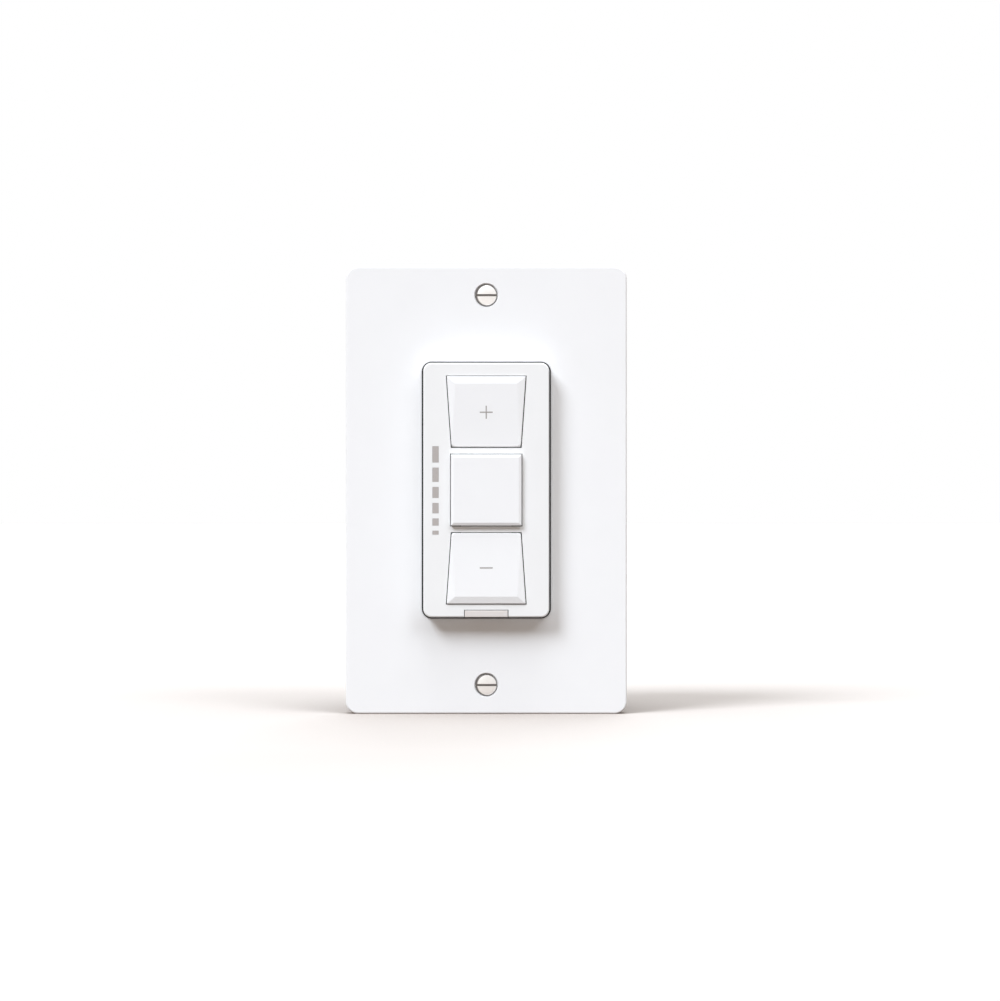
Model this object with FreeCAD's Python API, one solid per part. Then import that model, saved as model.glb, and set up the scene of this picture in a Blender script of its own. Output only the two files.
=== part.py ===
import FreeCAD, Part
import itertools
import math
import os
from FreeCAD import Placement, Rotation, Vector

# A wall dimmer: a screwed-on wall plate, a tall face with three keys, and the body that sits in the wall box.
# Lengths are in millimetres. X runs to the right, Z runs up, and the front faces -Y.
# The origin is the middle of the switch, on the surface of the wall.

# Heights that the whole layout hangs on, from the wall box outwards and inwards
BOX_SCREW_SPACING = 83.34
PLATE_SCREW_STEP = 6.75
PLATE_END = 7.18
STRAP_END = 4.08
HOUSING_END = 7.67
FACE_END = 2.575

# Wall plate
PLATE_WIDTH = 69.85
PLATE_DEPTH = 6.0
PLATE_WALL = 1.8
PLATE_CORNER_RADIUS = 3.0
PLATE_EDGE_RADIUS = 0.45
PLATE_INNER_CORNER_RADIUS = 1.4
PLATE_RIB_WALL = 1.0
PLATE_RIB_RISE = 1.6
PLATE_SIDE_RIB_INSET = 7.5
PLATE_SIDE_RIB_GAP = 6.4
PLATE_BOSS_RADIUS = 3.0
PLATE_BOSS_RISE = 1.7
SCREW_RADIUS = 1.75
SCREW_HOLE_GAP = 0.2
THREAD_GAP = 0.02
SCREW_TIP = 0.5

# Plate screws: a low dome with a steep rim, sunk a little into the plate
PLATE_SCREW_HEAD_RADIUS = 2.75
PLATE_SCREW_RIM = 0.4
PLATE_SCREW_RIM_RISE = 0.5
PLATE_SCREW_DOME = 0.25
PLATE_SCREW_SINK = 0.3
PLATE_SCREW_LENGTH = 11.0
PLATE_SCREW_SLOT = 0.55
PLATE_SCREW_SLOT_DEPTH = 0.9
COUNTERSINK_RADIUS = 3.05
COUNTERSINK_DEPTH = 1.5

# Face
FACE_WIDTH = 31.1
FACE_RISE = 4.5
FACE_WALL = 1.5
FACE_CORNER_RADIUS = 2.0
FACE_EDGE_RADIUS = 0.35
FACE_LIP_WALL = 1.0
FACE_LIP_DEPTH = 1.5
FACE_LIP_GAP = 0.1
FACE_INNER_RADIUS = 0.3
SNAP_BUMP = 0.35
SNAP_LENGTH = 7.0
SNAP_DEPTH = 0.5
SNAP_SPACING = 34.0

# Dark mid frame under the face, whose edge shows as a thin line round it
FRAME_STEP = 0.38
FRAME_SHOWN = 0.4
FRAME_WALL = 1.2
FRAME_FLOOR = 1.2
FRAME_FLANGE_SIDE = 3.9
FRAME_FLANGE_END = 3.95
FRAME_FLANGE_RADIUS = 3.0
FRAME_PLATE_GAP = 0.3
FRAME_POST_RADIUS = 2.4
FRAME_POST_GAP = 0.2
FRAME_PEG_RADIUS = 1.1
FRAME_PEG_HEIGHT = 1.7
FRAME_PEG_X = 9.5
FRAME_PEG_Z = 17.0
OPENING_GAP = 0.12

# Square toggle key in the middle
TOGGLE_SIDE_MARGIN = 6.825
TOGGLE_HEIGHT = 17.55
TOGGLE_RISE = 1.3
TOGGLE_BEVEL = 0.7
TOGGLE_BEVEL_RISE = 0.25
TOGGLE_EDGE_RADIUS = 0.15
TOGGLE_RIB_WALL = 1.0
KEY_TRAVEL = 0.4

# Plus and minus keys: shallow wedges that rise to a ridge near their outer ends
KEY_SPACING = 1.875
KEY_END_MARGIN = 3.355
KEY_INNER_SIDE_MARGIN = 7.0
KEY_OUTER_SIDE_MARGIN = 5.8
KEY_INNER_RISE = 0.25
KEY_RIDGE_RISE = 1.1
KEY_END_RISE = 0.6
KEY_SIDE_BEVEL = 1.95
KEY_END_BEVEL = 1.75
KEY_EDGE_RADIUS = 0.2
KEY_WALL = 1.1
KEY_GAP = 0.22
KEY_LIP = 0.8
KEY_LIP_DEPTH = 0.7
KEY_LIP_PLAY = 0.1
KEY_POST_RADIUS = 1.4
KEY_POST_TIP = 0.4
KEY_POST_INSET = 6.07
KEY_PLAY = 0.05
KEY_HINGE_INSET = 1.35
KEY_HINGE_DROP = 1.1
KEY_PIN_RADIUS = 0.7
KEY_PIN_GAP = 0.05
KEY_PIN_LENGTH = 1.9
KEY_LUG_HALF = 1.0
EAR_THICKNESS = 1.1
EAR_GAP = 0.4
EAR_HALF = 1.5

# Pull tab of the air-gap switch
TAB_WIDTH = 10.67
TAB_HEIGHT = 1.685
TAB_DEPTH = 3.8
TAB_GAP = 0.16
TAB_SHOULDER_WIDTH = 9.2
TAB_SHOULDER_DEPTH = 1.9
TAB_SHOULDER_DROP = 0.75
TAB_STOP = 0.45
TAB_STOP_DEPTH = 1.0
TAB_STEM_WIDTH = 6.0
TAB_STEM_HEIGHT = 0.9
TAB_STEM_GAP = 0.3
BRIDGE_WIDTH = 12.0
BRIDGE_HEIGHT = 3.5
BRIDGE_THICKNESS = 0.6
CONTACT_SPACING = 8.4
CONTACT_RADIUS = 1.2
CONTACT_HEIGHT = 3.0
CONTACT_CROWN = 0.4
CONTACT_GAP = 0.05

# Indicator bars, from the top one down: the height of each, and the gap between them
BAR_HEIGHTS = (3.96, 3.45, 2.64, 2.49, 1.7, 0.91)
BAR_SPACE = 1.325
BAR_WIDTH = 1.48
BAR_TOP_Z = 10.79
BAR_SIDE_MARGIN = 3.03
BAR_GAP = 0.04
GUIDE_MARGIN = 0.5
GUIDE_DEPTH = 0.9
GUIDE_WALL_GAP = 0.05
LED_SIZE = 0.8
LED_HEIGHT = 0.6
LED_GAP = 0.2

# Control board with its push switches, radio module and controller
BOARD_THICKNESS = 1.6
BOARD_SIDE_GAP = 0.25
BOARD_POST_GAP = 0.35
SWITCH_SIZE = 6.0
SWITCH_HEIGHT = 1.9
SWITCH_CHAMFER = 0.3
STEM_RADIUS = 1.5
STEM_GAP = 0.05
STEM_PROUD = 0.5
STEM_SUNK = 0.8
STEM_CHAMFER = 0.15
RADIO_WIDTH = 12.5
RADIO_LENGTH = 11.0
RADIO_BASE = 0.5
RADIO_CAN_LENGTH = 7.7
RADIO_CAN_RISE = 0.8
RADIO_CAN_RADIUS = 0.25
RADIO_MARGIN = 0.8
CHIP_SIZE = 7.0
CHIP_HEIGHT = 0.9
CHIP_CHAMFER = 0.18

# Mounting strap
STRAP_THICKNESS = 1.5
STRAP_SETBACK = 0.4
STRAP_EAR_WIDTH = 31.0
STRAP_CORNER_RADIUS = 2.5
STRAP_NOTCH_RADIUS = 1.0
BOX_SLOT_LENGTH = 8.0
BOX_SLOT_HEIGHT = 4.2
BOX_SCREW_HEAD_RADIUS = 3.3
BOX_SCREW_HEAD_HEIGHT = 1.9
BOX_SCREW_SLOT = 1.1
BOX_SCREW_NECK_RADIUS = 1.45
BOX_SCREW_LENGTH = 24.0
RETAINER_RADIUS = 4.2
RETAINER_THICKNESS = 0.8
RETAINER_GAP = 0.05
GROUND_SIDE_MARGIN = 4.5
GROUND_HOUSING_GAP = 1.0
GROUND_EDGE = 0.1
GROUND_RADIUS = 2.0
GROUND_HEAD_RADIUS = 3.2
GROUND_HEAD_HEIGHT = 2.0
GROUND_LENGTH = 1.4

# Rear housing
HOUSING_WIDTH = 43.0
HOUSING_DEPTH = 28.0
HOUSING_WALL = 1.8
HOUSING_CORNER_RADIUS = 3.0
HOUSING_BACK_RADIUS = 1.5
WELL_SIDE_INSET = 2.95
WELL_END_INSET = 2.525
WELL_RADIUS = 3.6
WELL_BORE = 2.6
WELL_FLOOR = 5.6
HOUSING_SCREW_RADIUS = 1.1
HOUSING_SCREW_HEAD_RADIUS = 2.1
HOUSING_SCREW_HEAD_HEIGHT = 1.6
HOUSING_SCREW_SLOT = 0.6
HOUSING_SCREW_END_GAP = 0.3
NICHE_Z = 13.0
NICHE_HEIGHT = 9.8
NICHE_DEPTH = 4.2
NICHE_FRONT = 8.5
NICHE_BACK = 21.5
NICHE_WALL = 1.5
LEDGE_GAP = 1.5
LEDGE_WALL = 1.6
LEDGE_REACH = 2.0
SLOT_COUNT = 7
SLOT_WIDTH = 1.3
SLOT_PITCH = 3.2
SLOT_FRONT = 12.0
SLOT_LENGTH = 9.0

# Power board and what stands on it
POWER_BOARD_FRONT = 8.0
POWER_BOARD_GAP = 0.4
PART_SEAT = 0.05
PART_SPACE = 0.4
CHOKE_OUTER = 9.0
CHOKE_INNER = 4.8
CHOKE_HEIGHT = 8.0
CHOKE_COVER = 1.2
CHOKE_COVER_GAP = 0.05
CHOKE_COVER_DEGREES = 300.0
FILTER_WIDTH = 17.0
FILTER_HEIGHT = 7.0
FILTER_DEPTH = 13.0
FILTER_CHAMFER = 0.7
RESERVOIR_RADIUS = 3.5
RESERVOIR_DEPTH = 14.0
RESERVOIR_X = 6.0
RESERVOIR_GROOVE = 0.4
RESERVOIR_GROOVE_RISE = 1.2
TRANSFORMER_WIDTH = 13.0
TRANSFORMER_HEIGHT = 7.0
TRANSFORMER_DEPTH = 11.0
TRANSFORMER_LEG = 3.6
TRANSFORMER_YOKE = 2.4
COIL_BUILD = 1.5
COIL_GAP = 0.1
COIL_CORNER_RADIUS = 1.2
SUPPRESSOR_RADIUS = 4.8
SUPPRESSOR_THICKNESS = 3.2
SUPPRESSOR_CHAMFER = 0.8
SUPPRESSOR_LEG_SPACING = 5.0
SIDE_PART_INSET = 4.1
LEG_SIZE = 0.7
FUSE_RADIUS = 1.9
FUSE_LENGTH = 8.0
FUSE_CAP = 1.4
FUSE_CAP_WALL = 0.3
FUSE_RISE = 3.4

# Power transistors, clamped to the back of the strap
PAD_WIDTH = 30.0
PAD_MARGIN = 1.75
PAD_THICKNESS = 0.3
TRANSISTOR_X = 7.5
TRANSISTOR_WIDTH = 10.0
TRANSISTOR_BODY_HEIGHT = 9.0
TRANSISTOR_TAB_HEIGHT = 15.5
TRANSISTOR_THICKNESS = 4.4
TRANSISTOR_CHAMFER = 0.45
TRANSISTOR_TAB = 1.3
TRANSISTOR_HOLE_DROP = 2.9
TRANSISTOR_SCREW_RADIUS = 1.45
TRANSISTOR_SCREW_HEAD = 2.7
TRANSISTOR_SCREW_HEIGHT = 1.8
LEAD_PITCH = 2.54
LEAD_WIDTH = 0.7
LEAD_THICKNESS = 0.5
LEAD_DROP = 2.2
LEAD_BEYOND = 1.2
LEAD_HOLE_GAP = 0.15

# Header between the two boards
HEADER_EDGE = 1.5
HEADER_COLUMNS = 5
HEADER_PITCH = 2.0
HEADER_WALL = 1.0
HEADER_PIN = 0.5
HEADER_PIN_GAP = 0.05
HEADER_CLEAR = 0.6

# Terminals in the side niches
TERMINAL_PLATE = 1.0
TERMINAL_EDGE = 0.6
TERMINAL_TAIL_WIDTH = 2.4
TERMINAL_TAIL_REACH = 2.0
TERMINAL_SCREW_Y = 15.0
TERMINAL_HEAD_RADIUS = 3.5
TERMINAL_HEAD_HEIGHT = 1.8
TERMINAL_SLOT = 1.1
TERMINAL_LENGTH = 4.6
TERMINAL_LIFT = 0.6

# How the slot and the chamfer of a plain screw head divide its height and radius
SLOT_SHARE = 0.45
HEAD_FLANK_SHARE = 0.5
HEAD_TOP_SHARE = 0.7

# Room for cuts that run clear of the whole part
FAR = 60.0

# Heights and widths that follow from the sizes
PLATE_SCREW_SPACING = BOX_SCREW_SPACING + 2 * PLATE_SCREW_STEP
PLATE_HEIGHT = PLATE_SCREW_SPACING + 2 * PLATE_END
STRAP_HEIGHT = PLATE_SCREW_SPACING + 2 * STRAP_END
STRAP_WIDTH = HOUSING_WIDTH
HOUSING_HEIGHT = BOX_SCREW_SPACING - 2 * HOUSING_END
HOUSING_INNER_WIDTH = HOUSING_WIDTH - 2 * HOUSING_WALL
HOUSING_INNER_HEIGHT = HOUSING_HEIGHT - 2 * HOUSING_WALL
FACE_HEIGHT = HOUSING_HEIGHT - 2 * FACE_END
FRAME_WIDTH = FACE_WIDTH + 2 * FRAME_STEP
FRAME_HEIGHT = FACE_HEIGHT + 2 * FRAME_STEP
FRAME_RADIUS = FACE_CORNER_RADIUS + FRAME_STEP
FRAME_INNER_WIDTH = FRAME_WIDTH - 2 * FRAME_WALL
FRAME_INNER_HEIGHT = FRAME_HEIGHT - 2 * FRAME_WALL
FRAME_INNER_RADIUS = FRAME_RADIUS - FRAME_WALL
FLANGE_WIDTH = FRAME_WIDTH + 2 * FRAME_FLANGE_SIDE
FLANGE_HEIGHT = FRAME_HEIGHT + 2 * FRAME_FLANGE_END
LIP_WIDTH = FRAME_INNER_WIDTH - 2 * FACE_LIP_GAP
LIP_HEIGHT = FRAME_INNER_HEIGHT - 2 * FACE_LIP_GAP
CAP_INNER_WIDTH = LIP_WIDTH - 2 * FACE_LIP_WALL
CAP_INNER_HEIGHT = LIP_HEIGHT - 2 * FACE_LIP_WALL
BOARD_WIDTH = CAP_INNER_WIDTH - 2 * BOARD_SIDE_GAP
BOARD_HEIGHT = CAP_INNER_HEIGHT - 2 * BOARD_SIDE_GAP
TOGGLE_WIDTH = FACE_WIDTH - 2 * TOGGLE_SIDE_MARGIN
KEY_INNER_WIDTH = FACE_WIDTH - 2 * KEY_INNER_SIDE_MARGIN
KEY_OUTER_WIDTH = FACE_WIDTH - 2 * KEY_OUTER_SIDE_MARGIN
KEY_INNER_Z = TOGGLE_HEIGHT / 2 + KEY_SPACING
KEY_OUTER_Z = FACE_HEIGHT / 2 - KEY_END_MARGIN
KEY_RIDGE_Z = KEY_OUTER_Z - KEY_END_BEVEL
KEY_SIDE_SLOPE = (KEY_OUTER_WIDTH - KEY_INNER_WIDTH) / 2 / (KEY_OUTER_Z - KEY_INNER_Z)
HINGE_Z = KEY_INNER_Z + KEY_HINGE_INSET
SWITCH_Z = KEY_OUTER_Z - KEY_POST_INSET
BAR_X = BAR_SIDE_MARGIN - FACE_WIDTH / 2
TAB_LOW_Z = -FACE_HEIGHT / 2
TAB_TOP_Z = TAB_LOW_Z + TAB_HEIGHT
STEM_LOW_Z = -FRAME_INNER_HEIGHT / 2 + TAB_STEM_GAP
STEM_TOP_Z = STEM_LOW_Z + TAB_STEM_HEIGHT
WELL_X = FACE_WIDTH / 2 - WELL_SIDE_INSET
WELL_Z = FACE_HEIGHT / 2 - WELL_END_INSET
LEDGE_Z = WELL_Z - WELL_RADIUS - LEDGE_GAP - LEDGE_WALL / 2
GROUND_X = GROUND_SIDE_MARGIN - STRAP_WIDTH / 2
GROUND_Z = -HOUSING_HEIGHT / 2 - GROUND_HOUSING_GAP - GROUND_HEAD_RADIUS
STRAP_BODY_HEIGHT = 2 * (GROUND_HEAD_RADIUS + GROUND_EDGE - GROUND_Z)
NICHE_FLOOR_X = HOUSING_WIDTH / 2 - NICHE_DEPTH
POWER_BOARD_WIDTH = HOUSING_INNER_WIDTH - 2 * POWER_BOARD_GAP
POWER_BOARD_HEIGHT = HOUSING_INNER_HEIGHT - 2 * POWER_BOARD_GAP

# Where the parts on the power board stand, the header and its neighbours from the top, the rest from below
HEADER_Z = BOARD_HEIGHT / 2 - HEADER_EDGE - HEADER_PITCH / 2
HEADER_HEIGHT = 2 * HEADER_PITCH + 2 * HEADER_WALL
HEADER_WIDTH = HEADER_COLUMNS * HEADER_PITCH + 2 * HEADER_WALL
RESERVOIR_Z = HEADER_Z - HEADER_HEIGHT / 2 - PART_SPACE - RESERVOIR_RADIUS
CHOKE_RADIUS = CHOKE_OUTER + CHOKE_COVER
CHOKE_Z = RESERVOIR_Z - math.sqrt((CHOKE_RADIUS + RESERVOIR_RADIUS + PART_SPACE) ** 2 - RESERVOIR_X ** 2)
LEAD_Z = CHOKE_Z - CHOKE_RADIUS - PART_SPACE - LEAD_THICKNESS / 2
TRANSISTOR_LOW_Z = LEAD_Z - LEAD_THICKNESS / 2 + LEAD_DROP
TRANSISTOR_TOP_Z = TRANSISTOR_LOW_Z + TRANSISTOR_TAB_HEIGHT
TRANSISTOR_HOLE_Z = TRANSISTOR_TOP_Z - TRANSISTOR_HOLE_DROP
COIL_HEIGHT = TRANSFORMER_HEIGHT + 2 * COIL_GAP + 2 * COIL_BUILD
TRANSFORMER_Z = COIL_HEIGHT / 2 + PART_SPACE - POWER_BOARD_HEIGHT / 2
FILTER_Z = TRANSFORMER_Z + COIL_HEIGHT / 2 + PART_SPACE + FILTER_HEIGHT / 2
SUPPRESSOR_X = POWER_BOARD_WIDTH / 2 - SIDE_PART_INSET
FUSE_X = -SUPPRESSOR_X

# Places along Y that follow from the sizes
PLATE_FRONT = -PLATE_DEPTH
PLATE_INSIDE = PLATE_FRONT + PLATE_WALL
FACE_FRONT = PLATE_FRONT - FACE_RISE
FACE_INSIDE = FACE_FRONT + FACE_WALL
RIM_Y = PLATE_FRONT - FRAME_SHOWN
STRAP_BACK = -STRAP_SETBACK
STRAP_FRONT = STRAP_BACK - STRAP_THICKNESS
FLANGE_FRONT = PLATE_INSIDE + FRAME_PLATE_GAP
FLOOR_FRONT = STRAP_FRONT - FRAME_FLOOR
BOARD_BACK = FLOOR_FRONT - FRAME_PEG_HEIGHT
BOARD_FRONT = BOARD_BACK - BOARD_THICKNESS
SWITCH_FRONT = BOARD_FRONT - SWITCH_HEIGHT
STEM_FRONT = SWITCH_FRONT - STEM_PROUD
LIP_FRONT = FACE_INSIDE + KEY_LIP_PLAY
SKIRT_BACK = LIP_FRONT + KEY_LIP_DEPTH
HINGE_Y = FACE_INSIDE + KEY_HINGE_DROP
GUIDE_FRONT = FACE_INSIDE + GUIDE_WALL_GAP
GUIDE_BACK = GUIDE_FRONT + GUIDE_DEPTH
LED_FRONT = BOARD_FRONT - LED_HEIGHT
HOUSING_BACK = HOUSING_DEPTH
HOUSING_INSIDE = HOUSING_BACK - HOUSING_WALL
POWER_BOARD_BACK = POWER_BOARD_FRONT + BOARD_THICKNESS
PARTS_SEAT = POWER_BOARD_BACK + PART_SEAT
BRIDGE_BACK = POWER_BOARD_FRONT - CONTACT_HEIGHT
TRANSISTOR_FRONT = STRAP_BACK + PAD_THICKNESS

CORNERS = [(x, z) for x in (-WELL_X, WELL_X) for z in (-WELL_Z, WELL_Z)]
TERMINALS = [(side, z) for side in (-1, 1) for z in (-NICHE_Z, NICHE_Z)]
ENDS = (-1, 1)


# Shapes used by several pieces

def block(x0, x1, y0, y1, z0, z1):
    return Part.makeBox(x1 - x0, y1 - y0, z1 - z0, Vector(x0, y0, z0))


def middle_block(width, y0, y1, height, x=0.0, z=0.0):
    return block(x - width / 2, x + width / 2, y0, y1, z - height / 2, z + height / 2)


def rod(radius, y0, y1, x=0.0, z=0.0):
    return Part.makeCylinder(radius, y1 - y0, Vector(x, y0, z), Vector(0, 1, 0))


def cross_rod(radius, x0, x1, y, z):
    return Part.makeCylinder(radius, x1 - x0, Vector(x0, y, z), Vector(1, 0, 0))


def polygon(points):
    return Part.makePolygon(points + [points[0]])


def square_outline(width, height, y):
    corners = ((-1, -1), (1, -1), (1, 1), (-1, 1))
    return polygon([Vector(x * width / 2, y, z * height / 2) for x, z in corners])


def rounded_outline(width, height, radius, y, x=0.0, z=0.0):
    """A rectangle in the plane at y, with round corners: four straight sides and four arcs."""
    inner_x = width / 2 - radius
    inner_z = height / 2 - radius
    edges = []
    last = None
    first = None
    for quarter in range(4):
        turn = math.pi / 2 * quarter
        centre_x = x + inner_x * (1 if quarter in (0, 3) else -1)
        centre_z = z + inner_z * (1 if quarter in (0, 1) else -1)
        points = []
        for share in (0.0, 0.5, 1.0):
            angle = turn + share * math.pi / 2
            points.append(Vector(centre_x + radius * math.cos(angle), y, centre_z + radius * math.sin(angle)))
        if last is not None:
            edges.append(Part.LineSegment(last, points[0]).toShape())
        edges.append(Part.Arc(*points).toShape())
        first = first or points[0]
        last = points[2]
    edges.append(Part.LineSegment(last, first).toShape())
    return Part.Wire(edges)


def slab(width, height, radius, y0, y1, x=0.0, z=0.0):
    face = Part.Face(rounded_outline(width, height, radius, y0, x, z))
    return face.extrude(Vector(0, y1 - y0, 0))


def edges_in_plane(shape, y, tolerance=0.001):
    """The edges that lie in the plane at y."""
    found = []
    for edge in shape.Edges:
        box = edge.BoundBox
        if abs(box.YMin - y) < tolerance and abs(box.YMax - y) < tolerance:
            found.append(edge)
    return found


def joined(first, others):
    """The pieces as one solid, with the seams between them taken out."""
    return first.fuse(others).removeSplitter()


def turned(profile):
    """The solid that an outline in the XZ plane makes when it is turned about Z."""
    return Part.Face(Part.Wire(profile)).revolve(Vector(0, 0, 0), Vector(0, 0, 1), 360)


def screw_slot(head_radius, width, head_top, depth):
    """The space of a slot across a screw's head, from ahead of the head down to its depth."""
    return Part.makeBox(
        4 * head_radius, width, depth + head_top,
        Vector(-2 * head_radius, -width / 2, -2 * head_top))


def pan_screw(head_radius, head_height, radius, length, slot, seat, direction, roll=0.0, neck=None):
    """A slotted pan-head screw. The head's underside is at seat, and the shank runs along direction.

    neck is the radius and the length of a thinner stretch under the head, on a screw with a coned tip."""
    points = [
        Vector(0, 0, -head_height),
        Vector(head_radius * HEAD_TOP_SHARE, 0, -head_height),
        Vector(head_radius, 0, -head_height * HEAD_FLANK_SHARE),
        Vector(head_radius, 0, 0),
    ]
    if neck:
        points += [
            Vector(neck[0], 0, 0),
            Vector(neck[0], 0, neck[1]),
            Vector(radius, 0, neck[1]),
            Vector(radius, 0, length - SCREW_TIP),
            Vector(radius - SCREW_TIP, 0, length),
        ]
    else:
        points += [Vector(radius, 0, 0), Vector(radius, 0, length)]
    points.append(Vector(0, 0, length))
    shape = turned(polygon(points))
    shape = shape.cut(screw_slot(head_radius, slot, head_height, head_height * SLOT_SHARE))
    lie = Rotation(Vector(0, 0, 1), direction).multiply(Rotation(Vector(0, 0, 1), roll))
    shape.Placement = Placement(seat, lie)
    return shape


def save(name, solids):
    """Write one piece, or several alike, to its own file."""
    solids = solids if isinstance(solids, list) else [solids]
    shape = solids[0] if len(solids) == 1 else Part.makeCompound(solids)
    for solid in solids:
        if not solid.isValid() or len(solid.Solids) != 1:
            print("check", name, solid.isValid(), len(solid.Solids))
    shape.exportStep(os.path.join("parts", name + ".step"))


# Wall plate and its screws

def wall_plate():
    """A hollow moulded plate with a tall opening, screw bosses, countersinks and stiffening ribs."""
    body = slab(PLATE_WIDTH, PLATE_HEIGHT, PLATE_CORNER_RADIUS, PLATE_FRONT, 0)
    body = body.makeFillet(PLATE_EDGE_RADIUS, edges_in_plane(body, PLATE_FRONT))
    hollow_width = PLATE_WIDTH - 2 * PLATE_WALL
    hollow_height = PLATE_HEIGHT - 2 * PLATE_WALL
    body = body.cut(slab(hollow_width, hollow_height, PLATE_INNER_CORNER_RADIUS, PLATE_INSIDE, FAR))
    ribs = []
    side_rib_x = hollow_width / 2 - PLATE_SIDE_RIB_INSET
    side_rib_length = PLATE_SCREW_SPACING - 2 * PLATE_SIDE_RIB_GAP
    rib_back = PLATE_INSIDE + PLATE_RIB_RISE
    for side in ENDS:
        ribs.append(middle_block(PLATE_RIB_WALL, PLATE_INSIDE, rib_back, side_rib_length, side * side_rib_x))
        screw_z = side * PLATE_SCREW_SPACING / 2
        ribs.append(middle_block(hollow_width, PLATE_INSIDE, rib_back, PLATE_RIB_WALL, 0, screw_z))
        ribs.append(rod(PLATE_BOSS_RADIUS, PLATE_INSIDE, PLATE_INSIDE + PLATE_BOSS_RISE, 0, screw_z))
    body = joined(body, ribs)
    opening = slab(
        FRAME_WIDTH + 2 * OPENING_GAP, FRAME_HEIGHT + 2 * OPENING_GAP, FRAME_RADIUS + OPENING_GAP,
        PLATE_FRONT - 1, PLATE_INSIDE + 1)
    cuts = [opening]
    hole = SCREW_RADIUS + SCREW_HOLE_GAP
    for side in ENDS:
        screw_z = side * PLATE_SCREW_SPACING / 2
        start = Vector(0, PLATE_FRONT, screw_z)
        cuts.append(Part.makeCone(COUNTERSINK_RADIUS, hole, COUNTERSINK_DEPTH, start, Vector(0, 1, 0)))
        cuts.append(rod(hole, PLATE_FRONT, 0, 0, screw_z))
    return body.cut(cuts)


def plate_screw(z):
    """An oval-head screw: a low dome with a steep rim, a cone below, and a slot that lies level."""
    steepness = COUNTERSINK_DEPTH / (COUNTERSINK_RADIUS - SCREW_RADIUS - SCREW_HOLE_GAP)
    cone_end = PLATE_SCREW_SINK + (PLATE_SCREW_HEAD_RADIUS - SCREW_RADIUS) * steepness
    rim_top = PLATE_SCREW_SINK - PLATE_SCREW_RIM_RISE
    top = rim_top - PLATE_SCREW_DOME
    inner = PLATE_SCREW_HEAD_RADIUS - PLATE_SCREW_RIM
    points = [
        Vector(inner, 0, rim_top),
        Vector(PLATE_SCREW_HEAD_RADIUS, 0, PLATE_SCREW_SINK),
        Vector(SCREW_RADIUS, 0, cone_end),
        Vector(SCREW_RADIUS, 0, PLATE_SCREW_LENGTH - SCREW_TIP),
        Vector(SCREW_RADIUS - SCREW_TIP, 0, PLATE_SCREW_LENGTH),
        Vector(0, 0, PLATE_SCREW_LENGTH),
        Vector(0, 0, top),
    ]
    profile = [Part.LineSegment(a, b).toShape() for a, b in zip(points, points[1:])]
    sphere_radius = (inner ** 2 + PLATE_SCREW_DOME ** 2) / (2 * PLATE_SCREW_DOME)
    middle = inner / 2
    fall = sphere_radius - math.sqrt(sphere_radius ** 2 - middle ** 2)
    profile.append(Part.Arc(points[-1], Vector(middle, 0, top + fall), points[0]).toShape())
    shape = turned(profile)
    shape = shape.cut(screw_slot(PLATE_SCREW_HEAD_RADIUS, PLATE_SCREW_SLOT, -top, PLATE_SCREW_SLOT_DEPTH))
    shape.Placement = Placement(Vector(0, PLATE_FRONT, z), Rotation(Vector(0, 0, 1), Vector(0, 1, 0)))
    return shape


# Keys

def key_half_width(z):
    return KEY_INNER_WIDTH / 2 + (z - KEY_INNER_Z) * KEY_SIDE_SLOPE


def key_outline(y, inset):
    """The key's four-sided outline in the plane at y, drawn in by inset."""
    inner_z = KEY_INNER_Z + inset
    outer_z = KEY_OUTER_Z - inset
    inner_x = key_half_width(inner_z) - inset
    outer_x = key_half_width(outer_z) - inset
    return polygon([
        Vector(-inner_x, y, inner_z),
        Vector(inner_x, y, inner_z),
        Vector(outer_x, y, outer_z),
        Vector(-outer_x, y, outer_z),
    ])


def key_front_y(z):
    """Where the key's sloping front lies at height z."""
    slope = (KEY_RIDGE_RISE - KEY_INNER_RISE) / (KEY_RIDGE_Z - KEY_INNER_Z)
    return FACE_FRONT - KEY_INNER_RISE - (z - KEY_INNER_Z) * slope


def space_ahead(a, b, c):
    """The space in front of the plane through three points."""
    normal = (b - a).cross(c - a).normalize()
    if normal.y > 0:
        normal = normal * -1
    room = Part.makeBox(FAR, FAR, FAR, Vector(-FAR / 2, -FAR / 2, 0))
    room.Placement = Placement(a, Rotation(Vector(0, 0, 1), normal))
    return room


def key_prism(inset, shift):
    """The key's outline drawn in by inset, from the skirt up to the sloping front moved back by shift."""
    depth = FACE_FRONT - 2 * KEY_RIDGE_RISE - SKIRT_BACK
    prism = Part.Face(key_outline(SKIRT_BACK, inset)).extrude(Vector(0, depth, 0))
    corners = [
        Vector(x, key_front_y(z) + shift, z)
        for x, z in ((-KEY_INNER_WIDTH, KEY_INNER_Z), (KEY_INNER_WIDTH, KEY_INNER_Z), (0, KEY_RIDGE_Z))
    ]
    return prism.cut(space_ahead(*corners))


def ridge_corner(side):
    x = key_half_width(KEY_RIDGE_Z) - KEY_SIDE_BEVEL
    return Vector(side * x, FACE_FRONT - KEY_RIDGE_RISE, KEY_RIDGE_Z)


def outer_corner(side):
    return Vector(side * KEY_OUTER_WIDTH / 2, FACE_FRONT - KEY_END_RISE, KEY_OUTER_Z)


def key_bevels():
    """The spaces ahead of the outer end's bevel and the side bevels, which run out at the inner corners."""
    spaces = [space_ahead(ridge_corner(-1), ridge_corner(1), outer_corner(1))]
    for side in ENDS:
        inner = Vector(side * KEY_INNER_WIDTH / 2, FACE_FRONT - KEY_INNER_RISE, KEY_INNER_Z)
        spaces.append(space_ahead(inner, ridge_corner(side), outer_corner(side)))
    return spaces


def edges_ahead(shape, y):
    """The edges that lie wholly in front of the plane at y."""
    return [edge for edge in shape.Edges if edge.BoundBox.YMax < y]


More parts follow.
